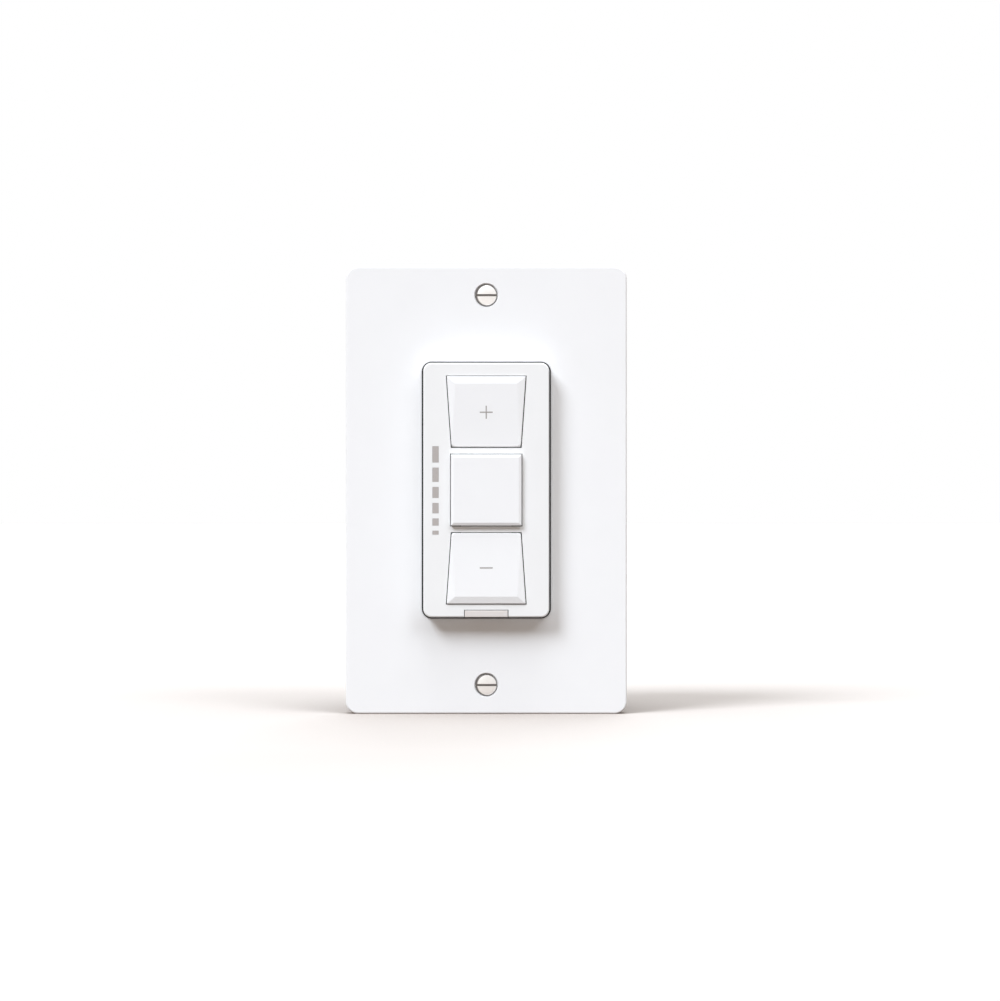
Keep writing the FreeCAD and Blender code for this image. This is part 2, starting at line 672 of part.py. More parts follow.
def key_post(front, z):
    """The post behind a key, with a chamfered tip that just clears the push switch's stem."""
    tip = STEM_FRONT - KEY_PLAY
    post = rod(KEY_POST_RADIUS, front, tip, 0, z)
    return post.makeChamfer(KEY_POST_TIP, edges_in_plane(post, tip))


def plus_key():
    """A hollow wedge on two hinge pins, with a post that meets the push switch and a lip that holds it in."""
    shell = key_prism(0, 0).cut(key_bevels())
    shell = shell.makeFillet(KEY_EDGE_RADIUS, edges_ahead(shell, FACE_FRONT))
    shell = shell.cut(key_prism(KEY_WALL, KEY_WALL))
    adds = [key_post(key_front_y(SWITCH_Z) + KEY_WALL / 2, SWITCH_Z)]
    adds.append(block(
        -KEY_OUTER_WIDTH / 2, KEY_OUTER_WIDTH / 2, LIP_FRONT, SKIRT_BACK,
        KEY_OUTER_Z - KEY_WALL, KEY_OUTER_Z + KEY_LIP))
    for side in ENDS:
        outer = key_half_width(HINGE_Z - KEY_LUG_HALF)
        inner = outer - KEY_WALL
        x0, x1 = sorted((side * inner, side * outer))
        adds.append(block(
            x0, x1, FACE_INSIDE, HINGE_Y + KEY_PIN_RADIUS + EAR_GAP / 2,
            HINGE_Z - KEY_LUG_HALF, HINGE_Z + KEY_LUG_HALF))
        p0, p1 = sorted((side * inner, side * (outer + KEY_PIN_LENGTH)))
        adds.append(cross_rod(KEY_PIN_RADIUS, p0, p1, HINGE_Y, HINGE_Z))
    return joined(shell, adds)


def other_way_up(shape):
    return shape.mirror(Vector(0, 0, 0), Vector(0, 0, 1))


def toggle_key():
    """A hollow square cap with a bevelled front, side lips and a post for the middle push switch."""
    front = FACE_FRONT - TOGGLE_RISE
    bevel_back = front + TOGGLE_BEVEL_RISE
    shell = middle_block(TOGGLE_WIDTH, bevel_back, SKIRT_BACK, TOGGLE_HEIGHT)
    outlines = [
        square_outline(TOGGLE_WIDTH, TOGGLE_HEIGHT, bevel_back),
        square_outline(TOGGLE_WIDTH - 2 * TOGGLE_BEVEL, TOGGLE_HEIGHT - 2 * TOGGLE_BEVEL, front),
    ]
    shell = joined(shell, [Part.makeLoft(outlines, True, True)])
    shell = shell.makeFillet(TOGGLE_EDGE_RADIUS, edges_ahead(shell, FACE_FRONT))
    inner_width = TOGGLE_WIDTH - 2 * KEY_WALL
    inner_height = TOGGLE_HEIGHT - 2 * KEY_WALL
    pocket_front = front + KEY_WALL
    shell = shell.cut(middle_block(inner_width, pocket_front, SKIRT_BACK, inner_height))
    roof = front + KEY_WALL / 2
    adds = [key_post(roof, 0)]
    for side in ENDS:
        x0, x1 = sorted((side * inner_width / 2, side * (TOGGLE_WIDTH / 2 + KEY_LIP)))
        adds.append(block(x0, x1, LIP_FRONT, SKIRT_BACK, -TOGGLE_HEIGHT / 2, TOGGLE_HEIGHT / 2))
        adds.append(middle_block(TOGGLE_RIB_WALL, roof, LIP_FRONT, SWITCH_SIZE, side * SWITCH_SIZE / 2))
    return joined(shell, adds)


# Face cap

def bar_places():
    """The middle height and the length of each indicator bar, from the top down."""
    top = BAR_TOP_Z
    places = []
    for height in BAR_HEIGHTS:
        places.append((top - height / 2, height))
        top -= height + BAR_SPACE
    return places


def hinge_ears():
    """Two ears behind the face for the plus key's pins."""
    ears = []
    low_z = HINGE_Z - EAR_HALF
    high_z = HINGE_Z + EAR_HALF
    for side in ENDS:
        inner = key_half_width(high_z) + EAR_GAP
        x0, x1 = sorted((side * inner, side * (inner + EAR_THICKNESS)))
        ear = block(x0, x1, FACE_INSIDE - FACE_WALL / 2, HINGE_Y + EAR_HALF, low_z, high_z)
        ears.append(ear.cut(cross_rod(KEY_PIN_RADIUS + KEY_PIN_GAP, x0, x1, HINGE_Y, HINGE_Z)))
    return ears


def snap_bumps(gap, height):
    """The four bumps that snap the cap into the mid frame, or with a gap the pockets for them."""
    y0 = RIM_Y + (FACE_LIP_DEPTH - SNAP_DEPTH) / 2 - gap
    y1 = y0 + SNAP_DEPTH + 2 * gap
    bumps = []
    for side in ENDS:
        x0, x1 = sorted((side * (LIP_WIDTH - FACE_LIP_WALL) / 2, side * (LIP_WIDTH / 2 + height)))
        for end in ENDS:
            z = end * SNAP_SPACING / 2
            reach = SNAP_LENGTH / 2 + gap
            bumps.append(block(x0, x1, y0, y1, z - reach, z + reach))
    return bumps


def face_cap():
    """The white moulded front, with a lip that snaps inside the mid frame."""
    cap = slab(FACE_WIDTH, FACE_HEIGHT, FACE_CORNER_RADIUS, FACE_FRONT, RIM_Y)
    cap = cap.makeFillet(FACE_EDGE_RADIUS, edges_in_plane(cap, FACE_FRONT))
    lip_back = RIM_Y + FACE_LIP_DEPTH
    lip = slab(LIP_WIDTH, LIP_HEIGHT, FRAME_INNER_RADIUS - FACE_LIP_GAP, RIM_Y, lip_back)
    hollow = slab(CAP_INNER_WIDTH, CAP_INNER_HEIGHT, FACE_INNER_RADIUS, FACE_INSIDE, lip_back)
    cap = cap.fuse([lip] + snap_bumps(0, SNAP_BUMP)).cut(hollow)
    ears = hinge_ears()
    cap = joined(cap, ears + [other_way_up(ear) for ear in ears])
    through = Vector(0, FACE_WALL * 3, 0)
    window = Part.Face(key_outline(FACE_FRONT - FACE_WALL, -KEY_GAP)).extrude(through)
    cuts = [window, other_way_up(window)]
    ahead = FACE_FRONT - FACE_WALL
    behind = FACE_INSIDE + FACE_WALL
    cuts.append(middle_block(TOGGLE_WIDTH + 2 * KEY_GAP, ahead, behind, TOGGLE_HEIGHT + 2 * KEY_GAP))
    for z, height in bar_places():
        cuts.append(middle_block(BAR_WIDTH + 2 * BAR_GAP, ahead, behind, height + 2 * BAR_GAP, BAR_X, z))
    tab_half = TAB_WIDTH / 2 + TAB_GAP
    cuts.append(block(-tab_half, tab_half, ahead, 0, TAB_LOW_Z - FACE_WALL, TAB_TOP_Z + TAB_GAP))
    cuts.append(block(-tab_half, tab_half, FACE_INSIDE, 0, TAB_LOW_Z, TAB_TOP_Z + 2 * TAB_STOP))
    for x, z in CORNERS:
        cuts.append(rod(FRAME_POST_RADIUS + FRAME_POST_GAP, RIM_Y, 0, x, z))
    return cap.cut(cuts)


# Dark mid frame

def mid_frame():
    """A dark tray on the strap: a flange behind the plate, a wall round the cap's lip, posts and pegs."""
    frame = slab(FRAME_WIDTH, FRAME_HEIGHT, FRAME_RADIUS, RIM_Y, STRAP_FRONT)
    flange = slab(FLANGE_WIDTH, FLANGE_HEIGHT, FRAME_FLANGE_RADIUS, FLANGE_FRONT, STRAP_FRONT)
    tray = slab(FRAME_INNER_WIDTH, FRAME_INNER_HEIGHT, FRAME_INNER_RADIUS, RIM_Y, FLOOR_FRONT)
    frame = frame.fuse(flange).cut(tray)
    adds = []
    for x, z in CORNERS:
        adds.append(rod(FRAME_POST_RADIUS, RIM_Y + FRAME_POST_GAP, FLOOR_FRONT, x, z))
    for x, z in itertools.product((-FRAME_PEG_X, FRAME_PEG_X), (-FRAME_PEG_Z, FRAME_PEG_Z)):
        adds.append(rod(FRAME_PEG_RADIUS, BOARD_BACK, FLOOR_FRONT, x, z))
    frame = joined(frame, adds)
    cuts = snap_bumps(FACE_LIP_GAP, SNAP_BUMP + FACE_LIP_GAP)
    for x, z in CORNERS:
        cuts.append(rod(HOUSING_SCREW_RADIUS + THREAD_GAP, RIM_Y, STRAP_FRONT, x, z))
    shoulder_half = TAB_SHOULDER_WIDTH / 2 + TAB_GAP
    shoulder_low = TAB_LOW_Z + TAB_SHOULDER_DROP - TAB_GAP
    shoulder_back = FACE_FRONT + TAB_DEPTH + TAB_SHOULDER_DEPTH + TAB_GAP
    cuts.append(block(-shoulder_half, shoulder_half, RIM_Y, shoulder_back, shoulder_low, TAB_TOP_Z))
    cuts.append(header_well(FLOOR_FRONT, STRAP_FRONT))
    cuts.append(tab_stem_well(FLOOR_FRONT, STRAP_FRONT))
    return frame.cut(cuts)


def header_well(y0, y1):
    return middle_block(
        HEADER_WIDTH + 2 * HEADER_CLEAR, y0, y1, HEADER_HEIGHT + 2 * HEADER_CLEAR, 0, HEADER_Z)


def tab_stem_well(y0, y1):
    half = TAB_STEM_WIDTH / 2 + TAB_STEM_GAP
    return block(-half, half, y0, y1, STEM_LOW_Z - TAB_STEM_GAP, STEM_TOP_Z + TAB_STEM_GAP)


# Air-gap switch

def air_gap_tab():
    """The tab in the face's lower edge, with a shoulder that stops it and a stem to the contact."""
    tab_back = FACE_FRONT + TAB_DEPTH
    tab = block(-TAB_WIDTH / 2, TAB_WIDTH / 2, FACE_FRONT, tab_back, TAB_LOW_Z, TAB_TOP_Z)
    tab = tab.makeFillet(KEY_EDGE_RADIUS, edges_in_plane(tab, FACE_FRONT))
    shoulder_back = tab_back + TAB_SHOULDER_DEPTH
    stop_front = shoulder_back - TAB_STOP_DEPTH
    half = TAB_SHOULDER_WIDTH / 2
    shoulder_low = TAB_LOW_Z + TAB_SHOULDER_DROP
    shoulder = block(-half, half, tab_back - TAB_STOP_DEPTH, shoulder_back, shoulder_low, TAB_TOP_Z)
    stop = block(-half, half, stop_front, shoulder_back, TAB_TOP_Z - TAB_STOP, TAB_TOP_Z + TAB_STOP)
    stem_half = TAB_STEM_WIDTH / 2
    bridge_front = BRIDGE_BACK - BRIDGE_THICKNESS
    stem = block(-stem_half, stem_half, stop_front, bridge_front, STEM_LOW_Z, STEM_TOP_Z)
    return joined(tab, [shoulder, stop, stem])


def air_gap_bridge():
    """A metal plate on the end of the stem that joins the two fixed contacts."""
    return slab(
        BRIDGE_WIDTH, BRIDGE_HEIGHT, BRIDGE_THICKNESS, BRIDGE_BACK - BRIDGE_THICKNESS, BRIDGE_BACK,
        0, bridge_z())


def bridge_z():
    return STEM_LOW_Z - TAB_STEM_GAP + BRIDGE_HEIGHT / 2


def air_gap_contact(side):
    """A rivet that stands on the power board, with a crowned head that meets the bridge."""
    front = BRIDGE_BACK + CONTACT_GAP
    post = rod(CONTACT_RADIUS, front, POWER_BOARD_FRONT, side * CONTACT_SPACING / 2, bridge_z())
    return post.makeChamfer(CONTACT_CROWN, edges_in_plane(post, front))


# Light guide and control board

def light_guide():
    """Six clear bars on one strip, with a short foot over each LED."""
    places = bar_places()
    top = BAR_TOP_Z + GUIDE_MARGIN
    low = places[-1][0] - places[-1][1] / 2 - GUIDE_MARGIN
    half = BAR_WIDTH / 2
    strip = block(BAR_X - half, BAR_X + half + GUIDE_MARGIN, GUIDE_FRONT, GUIDE_BACK, low, top)
    adds = []
    for z, height in places:
        adds.append(middle_block(BAR_WIDTH, FACE_FRONT, GUIDE_FRONT, height, BAR_X, z))
        adds.append(middle_block(LED_SIZE, GUIDE_BACK, LED_FRONT - LED_GAP, LED_SIZE, BAR_X, z))
    return joined(strip, adds)


def indicator_leds():
    return [middle_block(LED_SIZE, LED_FRONT, BOARD_FRONT, LED_SIZE, BAR_X, z) for z, height in bar_places()]


def control_board():
    """A board notched round the four posts and the tab's stop, with holes for the header pins."""
    board = middle_block(BOARD_WIDTH, BOARD_FRONT, BOARD_BACK, BOARD_HEIGHT)
    cuts = [rod(FRAME_POST_RADIUS + BOARD_POST_GAP, BOARD_FRONT, BOARD_BACK, x, z) for x, z in CORNERS]
    cuts += header_pin_holes(BOARD_FRONT, BOARD_BACK)
    notch_half = TAB_SHOULDER_WIDTH / 2 + BOARD_POST_GAP
    notch_top = TAB_TOP_Z + TAB_STOP + BOARD_POST_GAP
    cuts.append(block(-notch_half, notch_half, BOARD_FRONT, BOARD_BACK, -BOARD_HEIGHT / 2, notch_top))
    return board.cut(cuts)


def switch_places():
    return (SWITCH_Z, 0.0, -SWITCH_Z)


def switch_body(z):
    """A square push-switch case with a round hole for its stem."""
    case = middle_block(SWITCH_SIZE, SWITCH_FRONT, BOARD_FRONT, SWITCH_SIZE, 0, z)
    case = case.makeChamfer(SWITCH_CHAMFER, edges_in_plane(case, SWITCH_FRONT))
    depth = STEM_SUNK + KEY_TRAVEL + STEM_GAP
    return case.cut(rod(STEM_RADIUS + STEM_GAP, SWITCH_FRONT, SWITCH_FRONT + depth, 0, z))


def switch_stem(z):
    stem = rod(STEM_RADIUS, STEM_FRONT, SWITCH_FRONT + STEM_SUNK, 0, z)
    return stem.makeChamfer(STEM_CHAMFER, edges_in_plane(stem, STEM_FRONT))


def radio_module():
    """A small board with a pressed shield can on it, and bare board at one end for the aerial."""
    z = -SWITCH_Z / 2
    base_front = BOARD_FRONT - RADIO_BASE
    base = middle_block(RADIO_WIDTH, base_front, BOARD_FRONT, RADIO_LENGTH, 0, z)
    can_front = base_front - RADIO_CAN_RISE
    can_z = z + (RADIO_LENGTH - RADIO_CAN_LENGTH) / 2 - RADIO_MARGIN
    can = slab(
        RADIO_WIDTH - 2 * RADIO_MARGIN, RADIO_CAN_LENGTH, RADIO_CAN_RADIUS, can_front, base_front, 0, can_z)
    return joined(base, [can])


def controller_chip():
    chip = middle_block(CHIP_SIZE, BOARD_FRONT - CHIP_HEIGHT, BOARD_FRONT, CHIP_SIZE, 0, SWITCH_Z / 2)
    return chip.makeChamfer(CHIP_CHAMFER, edges_in_plane(chip, BOARD_FRONT - CHIP_HEIGHT))


# Header between the boards

def header_places():
    places = []
    for column in range(HEADER_COLUMNS):
        x = (column - (HEADER_COLUMNS - 1) / 2) * HEADER_PITCH
        for row in ENDS:
            places.append((x, HEADER_Z + row * HEADER_PITCH / 2))
    return places


def header_pin_holes(y0, y1):
    size = HEADER_PIN + 2 * HEADER_PIN_GAP
    return [middle_block(size, y0, y1, size, x, z) for x, z in header_places()]


def header_body():
    """The black spacer that carries the pins from one board to the other."""
    body = middle_block(HEADER_WIDTH, BOARD_BACK, POWER_BOARD_FRONT, HEADER_HEIGHT, 0, HEADER_Z)
    return body.cut(header_pin_holes(BOARD_BACK, POWER_BOARD_FRONT))


def header_pins():
    front = BOARD_FRONT - HEADER_PIN
    back = POWER_BOARD_BACK + HEADER_PIN
    return [middle_block(HEADER_PIN, front, back, HEADER_PIN, x, z) for x, z in header_places()]


# Mounting strap

def mounting_strap():
    """A stamped strap: a wide middle that carries the parts, and narrower ears that meet the wall."""
    strap = slab(STRAP_WIDTH, STRAP_BODY_HEIGHT, STRAP_CORNER_RADIUS, STRAP_FRONT, STRAP_BACK)
    ears = slab(STRAP_EAR_WIDTH, STRAP_HEIGHT, STRAP_CORNER_RADIUS, STRAP_FRONT, STRAP_BACK)
    strap = joined(strap, [ears])
    cuts = [header_well(STRAP_FRONT, STRAP_BACK), tab_stem_well(STRAP_FRONT, STRAP_BACK)]
    for x, z in CORNERS:
        cuts.append(rod(HOUSING_SCREW_RADIUS + SCREW_HOLE_GAP, STRAP_FRONT, STRAP_BACK, x, z))
    for end in ENDS:
        box_z = end * BOX_SCREW_SPACING / 2
        slot_radius = BOX_SLOT_HEIGHT / 2 - THREAD_GAP
        cuts.append(slab(BOX_SLOT_LENGTH, BOX_SLOT_HEIGHT, slot_radius, STRAP_FRONT, STRAP_BACK, 0, box_z))
        cuts.append(rod(SCREW_RADIUS + THREAD_GAP, STRAP_FRONT, STRAP_BACK, 0, end * PLATE_SCREW_SPACING / 2))
        for side in ENDS:
            cuts.append(rod(
                STRAP_NOTCH_RADIUS, STRAP_FRONT, STRAP_BACK, side * STRAP_EAR_WIDTH / 2,
                end * (STRAP_BODY_HEIGHT / 2 + STRAP_NOTCH_RADIUS)))
    hole = TRANSISTOR_SCREW_RADIUS + THREAD_GAP
    for side in ENDS:
        cuts.append(rod(hole, STRAP_FRONT, STRAP_BACK, side * TRANSISTOR_X, TRANSISTOR_HOLE_Z))
    cuts.append(rod(GROUND_RADIUS + THREAD_GAP, STRAP_FRONT, STRAP_BACK, GROUND_X, GROUND_Z))
    return strap.cut(cuts)


def box_screw(end):
    seat = Vector(0, STRAP_FRONT, end * BOX_SCREW_SPACING / 2)
    neck = STRAP_THICKNESS + RETAINER_THICKNESS + RETAINER_GAP
    return pan_screw(
        BOX_SCREW_HEAD_RADIUS, BOX_SCREW_HEAD_HEIGHT, SCREW_RADIUS, BOX_SCREW_LENGTH,
        BOX_SCREW_SLOT, seat, Vector(0, 1, 0), 0, (BOX_SCREW_NECK_RADIUS, neck))


def screw_retainer(end):
    """A fibre washer behind the strap that grips the screw's neck."""
    z = end * BOX_SCREW_SPACING / 2
    back = STRAP_BACK + RETAINER_THICKNESS
    washer = rod(RETAINER_RADIUS, STRAP_BACK, back, 0, z)
    return washer.cut(rod(BOX_SCREW_NECK_RADIUS + THREAD_GAP, STRAP_BACK, back, 0, z))


def ground_screw():
    """A screw behind the strap's lower corner, for the bare earth wire."""
    seat = Vector(GROUND_X, STRAP_BACK, GROUND_Z)
    return pan_screw(
        GROUND_HEAD_RADIUS, GROUND_HEAD_HEIGHT, GROUND_RADIUS, GROUND_LENGTH,
        BOX_SCREW_SLOT, seat, Vector(0, -1, 0))


# Rear housing

def niche(side, z, wall):
    """The space of one terminal niche, or with a wall the block that it is cut from."""
    outer = HOUSING_WIDTH / 2 + (0 if wall else NICHE_DEPTH)
    x0, x1 = sorted((side * (NICHE_FLOOR_X - wall), side * outer))
    half = NICHE_HEIGHT / 2 + wall
    return block(x0, x1, NICHE_FRONT - wall, NICHE_BACK + wall, z - half, z + half)


def rear_housing():
    """A deep moulded box with round back edges, four screw wells, side niches, board ledges and air slots."""
    box = slab(HOUSING_WIDTH, HOUSING_HEIGHT, HOUSING_CORNER_RADIUS, STRAP_BACK, HOUSING_BACK)
    box = box.makeFillet(HOUSING_BACK_RADIUS, edges_in_plane(box, HOUSING_BACK))
    box = box.cut(slab(
        HOUSING_INNER_WIDTH, HOUSING_INNER_HEIGHT, HOUSING_CORNER_RADIUS - HOUSING_WALL,
        STRAP_BACK, HOUSING_INSIDE))
    adds = [rod(WELL_RADIUS, STRAP_BACK, HOUSING_INSIDE, x, z) for x, z in CORNERS]
    for side, z in TERMINALS:
        adds.append(niche(side, z, NICHE_WALL))
    wall_x = HOUSING_INNER_WIDTH / 2
    for side in ENDS:
        x0, x1 = sorted((side * wall_x, side * (wall_x - LEDGE_REACH)))
        for end in ENDS:
            adds.append(block(
                x0, x1, POWER_BOARD_BACK, HOUSING_INSIDE,
                end * LEDGE_Z - LEDGE_WALL / 2, end * LEDGE_Z + LEDGE_WALL / 2))
    box = joined(box, adds)
    cuts = []
    for x, z in CORNERS:
        cuts.append(rod(WELL_BORE, WELL_FLOOR, HOUSING_BACK, x, z))
        cuts.append(rod(HOUSING_SCREW_RADIUS + SCREW_HOLE_GAP, STRAP_BACK, WELL_FLOOR, x, z))
    for side, z in TERMINALS:
        cuts.append(niche(side, z, 0))
        x0, x1 = sorted((side * (NICHE_FLOOR_X - NICHE_WALL), side * NICHE_FLOOR_X))
        cuts.append(cross_rod(SCREW_RADIUS + SCREW_HOLE_GAP, x0, x1, TERMINAL_SCREW_Y, z))
        cuts.append(tail_slot(side, z))
    for end in ENDS:
        for index in range(SLOT_COUNT):
            x = (index - (SLOT_COUNT - 1) / 2) * SLOT_PITCH
            z0, z1 = sorted((end * HOUSING_HEIGHT / 2, end * HOUSING_INNER_HEIGHT / 2))
            cuts.append(block(
                x - SLOT_WIDTH / 2, x + SLOT_WIDTH / 2, SLOT_FRONT, SLOT_FRONT + SLOT_LENGTH, z0, z1))
    return box.cut(cuts)


def tail_slot(side, z):
    """The slot in the niche's floor for the terminal plate's tail."""
    half = TERMINAL_TAIL_WIDTH / 2 + THREAD_GAP
    x0, x1 = sorted((side * (NICHE_FLOOR_X - NICHE_WALL), side * NICHE_FLOOR_X))
    back = PARTS_SEAT + TERMINAL_PLATE + THREAD_GAP
    return block(x0, x1, PARTS_SEAT - THREAD_GAP, back, z - half, z + half)


def housing_screw(x, z):
    """A long screw up a well, through the strap and into a post of the mid frame."""
    length = WELL_FLOOR - (RIM_Y + FRAME_POST_GAP) - HOUSING_SCREW_END_GAP
    return pan_screw(
        HOUSING_SCREW_HEAD_RADIUS, HOUSING_SCREW_HEAD_HEIGHT, HOUSING_SCREW_RADIUS, length,
        HOUSING_SCREW_SLOT, Vector(x, WELL_FLOOR, z), Vector(0, -1, 0))


def terminal_plate(side, z):
    """A plate on the niche's floor under the screw, with a tail through the floor onto the power board."""
    half = NICHE_HEIGHT / 2 - TERMINAL_EDGE
    x0, x1 = sorted((side * NICHE_FLOOR_X, side * (NICHE_FLOOR_X + TERMINAL_PLATE)))
    plate = block(x0, x1, NICHE_FRONT + TERMINAL_EDGE, NICHE_BACK - TERMINAL_EDGE, z - half, z + half)
    tail_half = TERMINAL_TAIL_WIDTH / 2
    tail_end = NICHE_FLOOR_X - NICHE_WALL - TERMINAL_TAIL_REACH
    t0, t1 = sorted((side * tail_end, side * NICHE_FLOOR_X))
    tail = block(t0, t1, PARTS_SEAT, PARTS_SEAT + TERMINAL_PLATE, z - tail_half, z + tail_half)
    shape = joined(plate, [tail])
    bore = cross_rod(SCREW_RADIUS + THREAD_GAP, x0, x1, TERMINAL_SCREW_Y, z)
    return shape.cut(bore)


def terminal_screw(side, z):
    seat_x = side * (NICHE_FLOOR_X + TERMINAL_PLATE + TERMINAL_LIFT)
    return pan_screw(
        TERMINAL_HEAD_RADIUS, TERMINAL_HEAD_HEIGHT, SCREW_RADIUS, TERMINAL_LENGTH,
        TERMINAL_SLOT, Vector(seat_x, TERMINAL_SCREW_Y, z), Vector(-side, 0, 0))


# Power board and its parts

def power_board():
    """The mains board, notched round the screw wells and the terminal niches."""
    board = middle_block(POWER_BOARD_WIDTH, POWER_BOARD_FRONT, POWER_BOARD_BACK, POWER_BOARD_HEIGHT)
    cuts = [rod(WELL_RADIUS + POWER_BOARD_GAP, POWER_BOARD_FRONT, POWER_BOARD_BACK, x, z) for x, z in CORNERS]
    for side, z in TERMINALS:
        cuts.append(niche(side, z, NICHE_WALL + POWER_BOARD_GAP))
    cuts += header_pin_holes(POWER_BOARD_FRONT, POWER_BOARD_BACK)
    for x, z in lead_places():
        cuts.append(middle_block(
            LEAD_WIDTH + 2 * LEAD_HOLE_GAP, POWER_BOARD_FRONT, POWER_BOARD_BACK,
            LEAD_THICKNESS + 2 * LEAD_HOLE_GAP, x, z))
    return board.cut(cuts)


def ring(outer, inner, y0, y1, z):
    return rod(outer, y0, y1, 0, z).cut(rod(inner, y0, y1, 0, z))


def choke_core():
    front = PARTS_SEAT + CHOKE_COVER
    return ring(CHOKE_OUTER, CHOKE_INNER, front, front + CHOKE_HEIGHT, CHOKE_Z)


def choke_winding():
    """The taped winding: a thick sleeve round most of the ring core."""
    back = PARTS_SEAT + CHOKE_HEIGHT + 2 * CHOKE_COVER
    cover = ring(CHOKE_RADIUS, CHOKE_INNER - CHOKE_COVER, PARTS_SEAT, back, CHOKE_Z)
    front = PARTS_SEAT + CHOKE_COVER - CHOKE_COVER_GAP
    core_back = front + CHOKE_HEIGHT + 2 * CHOKE_COVER_GAP
    outer = CHOKE_OUTER + CHOKE_COVER_GAP
    inner = CHOKE_INNER - CHOKE_COVER_GAP
    cover = cover.cut(ring(outer, inner, front, core_back, CHOKE_Z))
    opening = 360 - CHOKE_COVER_DEGREES
    wedge = Part.makeCylinder(
        2 * CHOKE_RADIUS, back - PARTS_SEAT, Vector(0, PARTS_SEAT, CHOKE_Z), Vector(0, 1, 0), opening)
    wedge.rotate(Vector(0, PARTS_SEAT, CHOKE_Z), Vector(0, 1, 0), opening / 2)
    return cover.cut(wedge)


def filter_capacitor():
    back = PARTS_SEAT + FILTER_DEPTH
    box = middle_block(FILTER_WIDTH, PARTS_SEAT, back, FILTER_HEIGHT, 0, FILTER_Z)
    return box.makeChamfer(FILTER_CHAMFER, edges_in_plane(box, back))


def reservoir_capacitor(side):
    """An upright can with a crimp groove near its foot."""
    foot = RESERVOIR_GROOVE_RISE - RESERVOIR_GROOVE
    points = [
        Vector(0, 0, 0),
        Vector(RESERVOIR_RADIUS, 0, 0),
        Vector(RESERVOIR_RADIUS, 0, foot),
        Vector(RESERVOIR_RADIUS - RESERVOIR_GROOVE, 0, RESERVOIR_GROOVE_RISE),
        Vector(RESERVOIR_RADIUS, 0, RESERVOIR_GROOVE_RISE + RESERVOIR_GROOVE),
        Vector(RESERVOIR_RADIUS, 0, RESERVOIR_DEPTH),
        Vector(0, 0, RESERVOIR_DEPTH),
    ]
    can = turned(polygon(points))
    seat = Vector(side * RESERVOIR_X, PARTS_SEAT, RESERVOIR_Z)
    can.Placement = Placement(seat, Rotation(Vector(0, 0, 1), Vector(0, 1, 0)))
    return can


def transformer_core():
    """A ferrite core with a window on each side of its middle leg."""
    back = PARTS_SEAT + TRANSFORMER_DEPTH
    core = middle_block(TRANSFORMER_WIDTH, PARTS_SEAT, back, TRANSFORMER_HEIGHT, 0, TRANSFORMER_Z)
    window = COIL_BUILD + 2 * COIL_GAP
    cuts = []
    for side in ENDS:
        x = side * (TRANSFORMER_LEG + window) / 2
        y0 = PARTS_SEAT + TRANSFORMER_YOKE
        y1 = back - TRANSFORMER_YOKE
        cuts.append(middle_block(window, y0, y1, TRANSFORMER_HEIGHT, x, TRANSFORMER_Z))
    return core.cut(cuts)


def transformer_coil():
    """The taped coil round the core's middle leg."""
    y0 = PARTS_SEAT + TRANSFORMER_YOKE + COIL_GAP
    y1 = PARTS_SEAT + TRANSFORMER_DEPTH - TRANSFORMER_YOKE - COIL_GAP
    inner_width = TRANSFORMER_LEG + 2 * COIL_GAP
    inner_height = TRANSFORMER_HEIGHT + 2 * COIL_GAP
    coil = slab(inner_width + 2 * COIL_BUILD, COIL_HEIGHT, COIL_CORNER_RADIUS, y0, y1, 0, TRANSFORMER_Z)
    return coil.cut(middle_block(inner_width, y0, y1, inner_height, 0, TRANSFORMER_Z))


def surge_suppressor():
    """A round disc on edge, with two short legs in the board."""
    y = PARTS_SEAT + SUPPRESSOR_RADIUS + LEG_SIZE
    half = SUPPRESSOR_THICKNESS / 2
    disc = cross_rod(SUPPRESSOR_RADIUS, SUPPRESSOR_X - half, SUPPRESSOR_X + half, y, 0)
    rims = [edge for edge in disc.Edges if edge.Closed and edge.BoundBox.XLength < LEG_SIZE]
    disc = disc.makeChamfer(SUPPRESSOR_CHAMFER, rims)
    legs = []
    for end in ENDS:
        leg_z = end * SUPPRESSOR_LEG_SPACING / 2
        legs.append(middle_block(LEG_SIZE, PARTS_SEAT, y, LEG_SIZE, SUPPRESSOR_X, leg_z))
    return joined(disc, legs)


def fuse_body():
    y = PARTS_SEAT + FUSE_RISE
    return Part.makeCylinder(FUSE_RADIUS, FUSE_LENGTH, Vector(FUSE_X, y, -FUSE_LENGTH / 2), Vector(0, 0, 1))


def fuse_cap(end):
    """An end cap with the leg that stands in the board."""
    y = PARTS_SEAT + FUSE_RISE
    z0, z1 = sorted((end * (FUSE_LENGTH / 2 - FUSE_CAP), end * (FUSE_LENGTH / 2 + FUSE_CAP_WALL)))
    cap = Part.makeCylinder(FUSE_RADIUS + FUSE_CAP_WALL, z1 - z0, Vector(FUSE_X, y, z0), Vector(0, 0, 1))
    leg_z = end * (FUSE_LENGTH / 2 + FUSE_CAP_WALL - LEG_SIZE / 2)
    leg = middle_block(LEG_SIZE, PARTS_SEAT, y, LEG_SIZE, FUSE_X, leg_z)
    room = Part.makeCylinder(
        FUSE_RADIUS + THREAD_GAP, FUSE_LENGTH + 2 * THREAD_GAP,
        Vector(FUSE_X, y, -FUSE_LENGTH / 2 - THREAD_GAP), Vector(0, 0, 1))
    return joined(cap, [leg]).cut(room)


# Power transistors

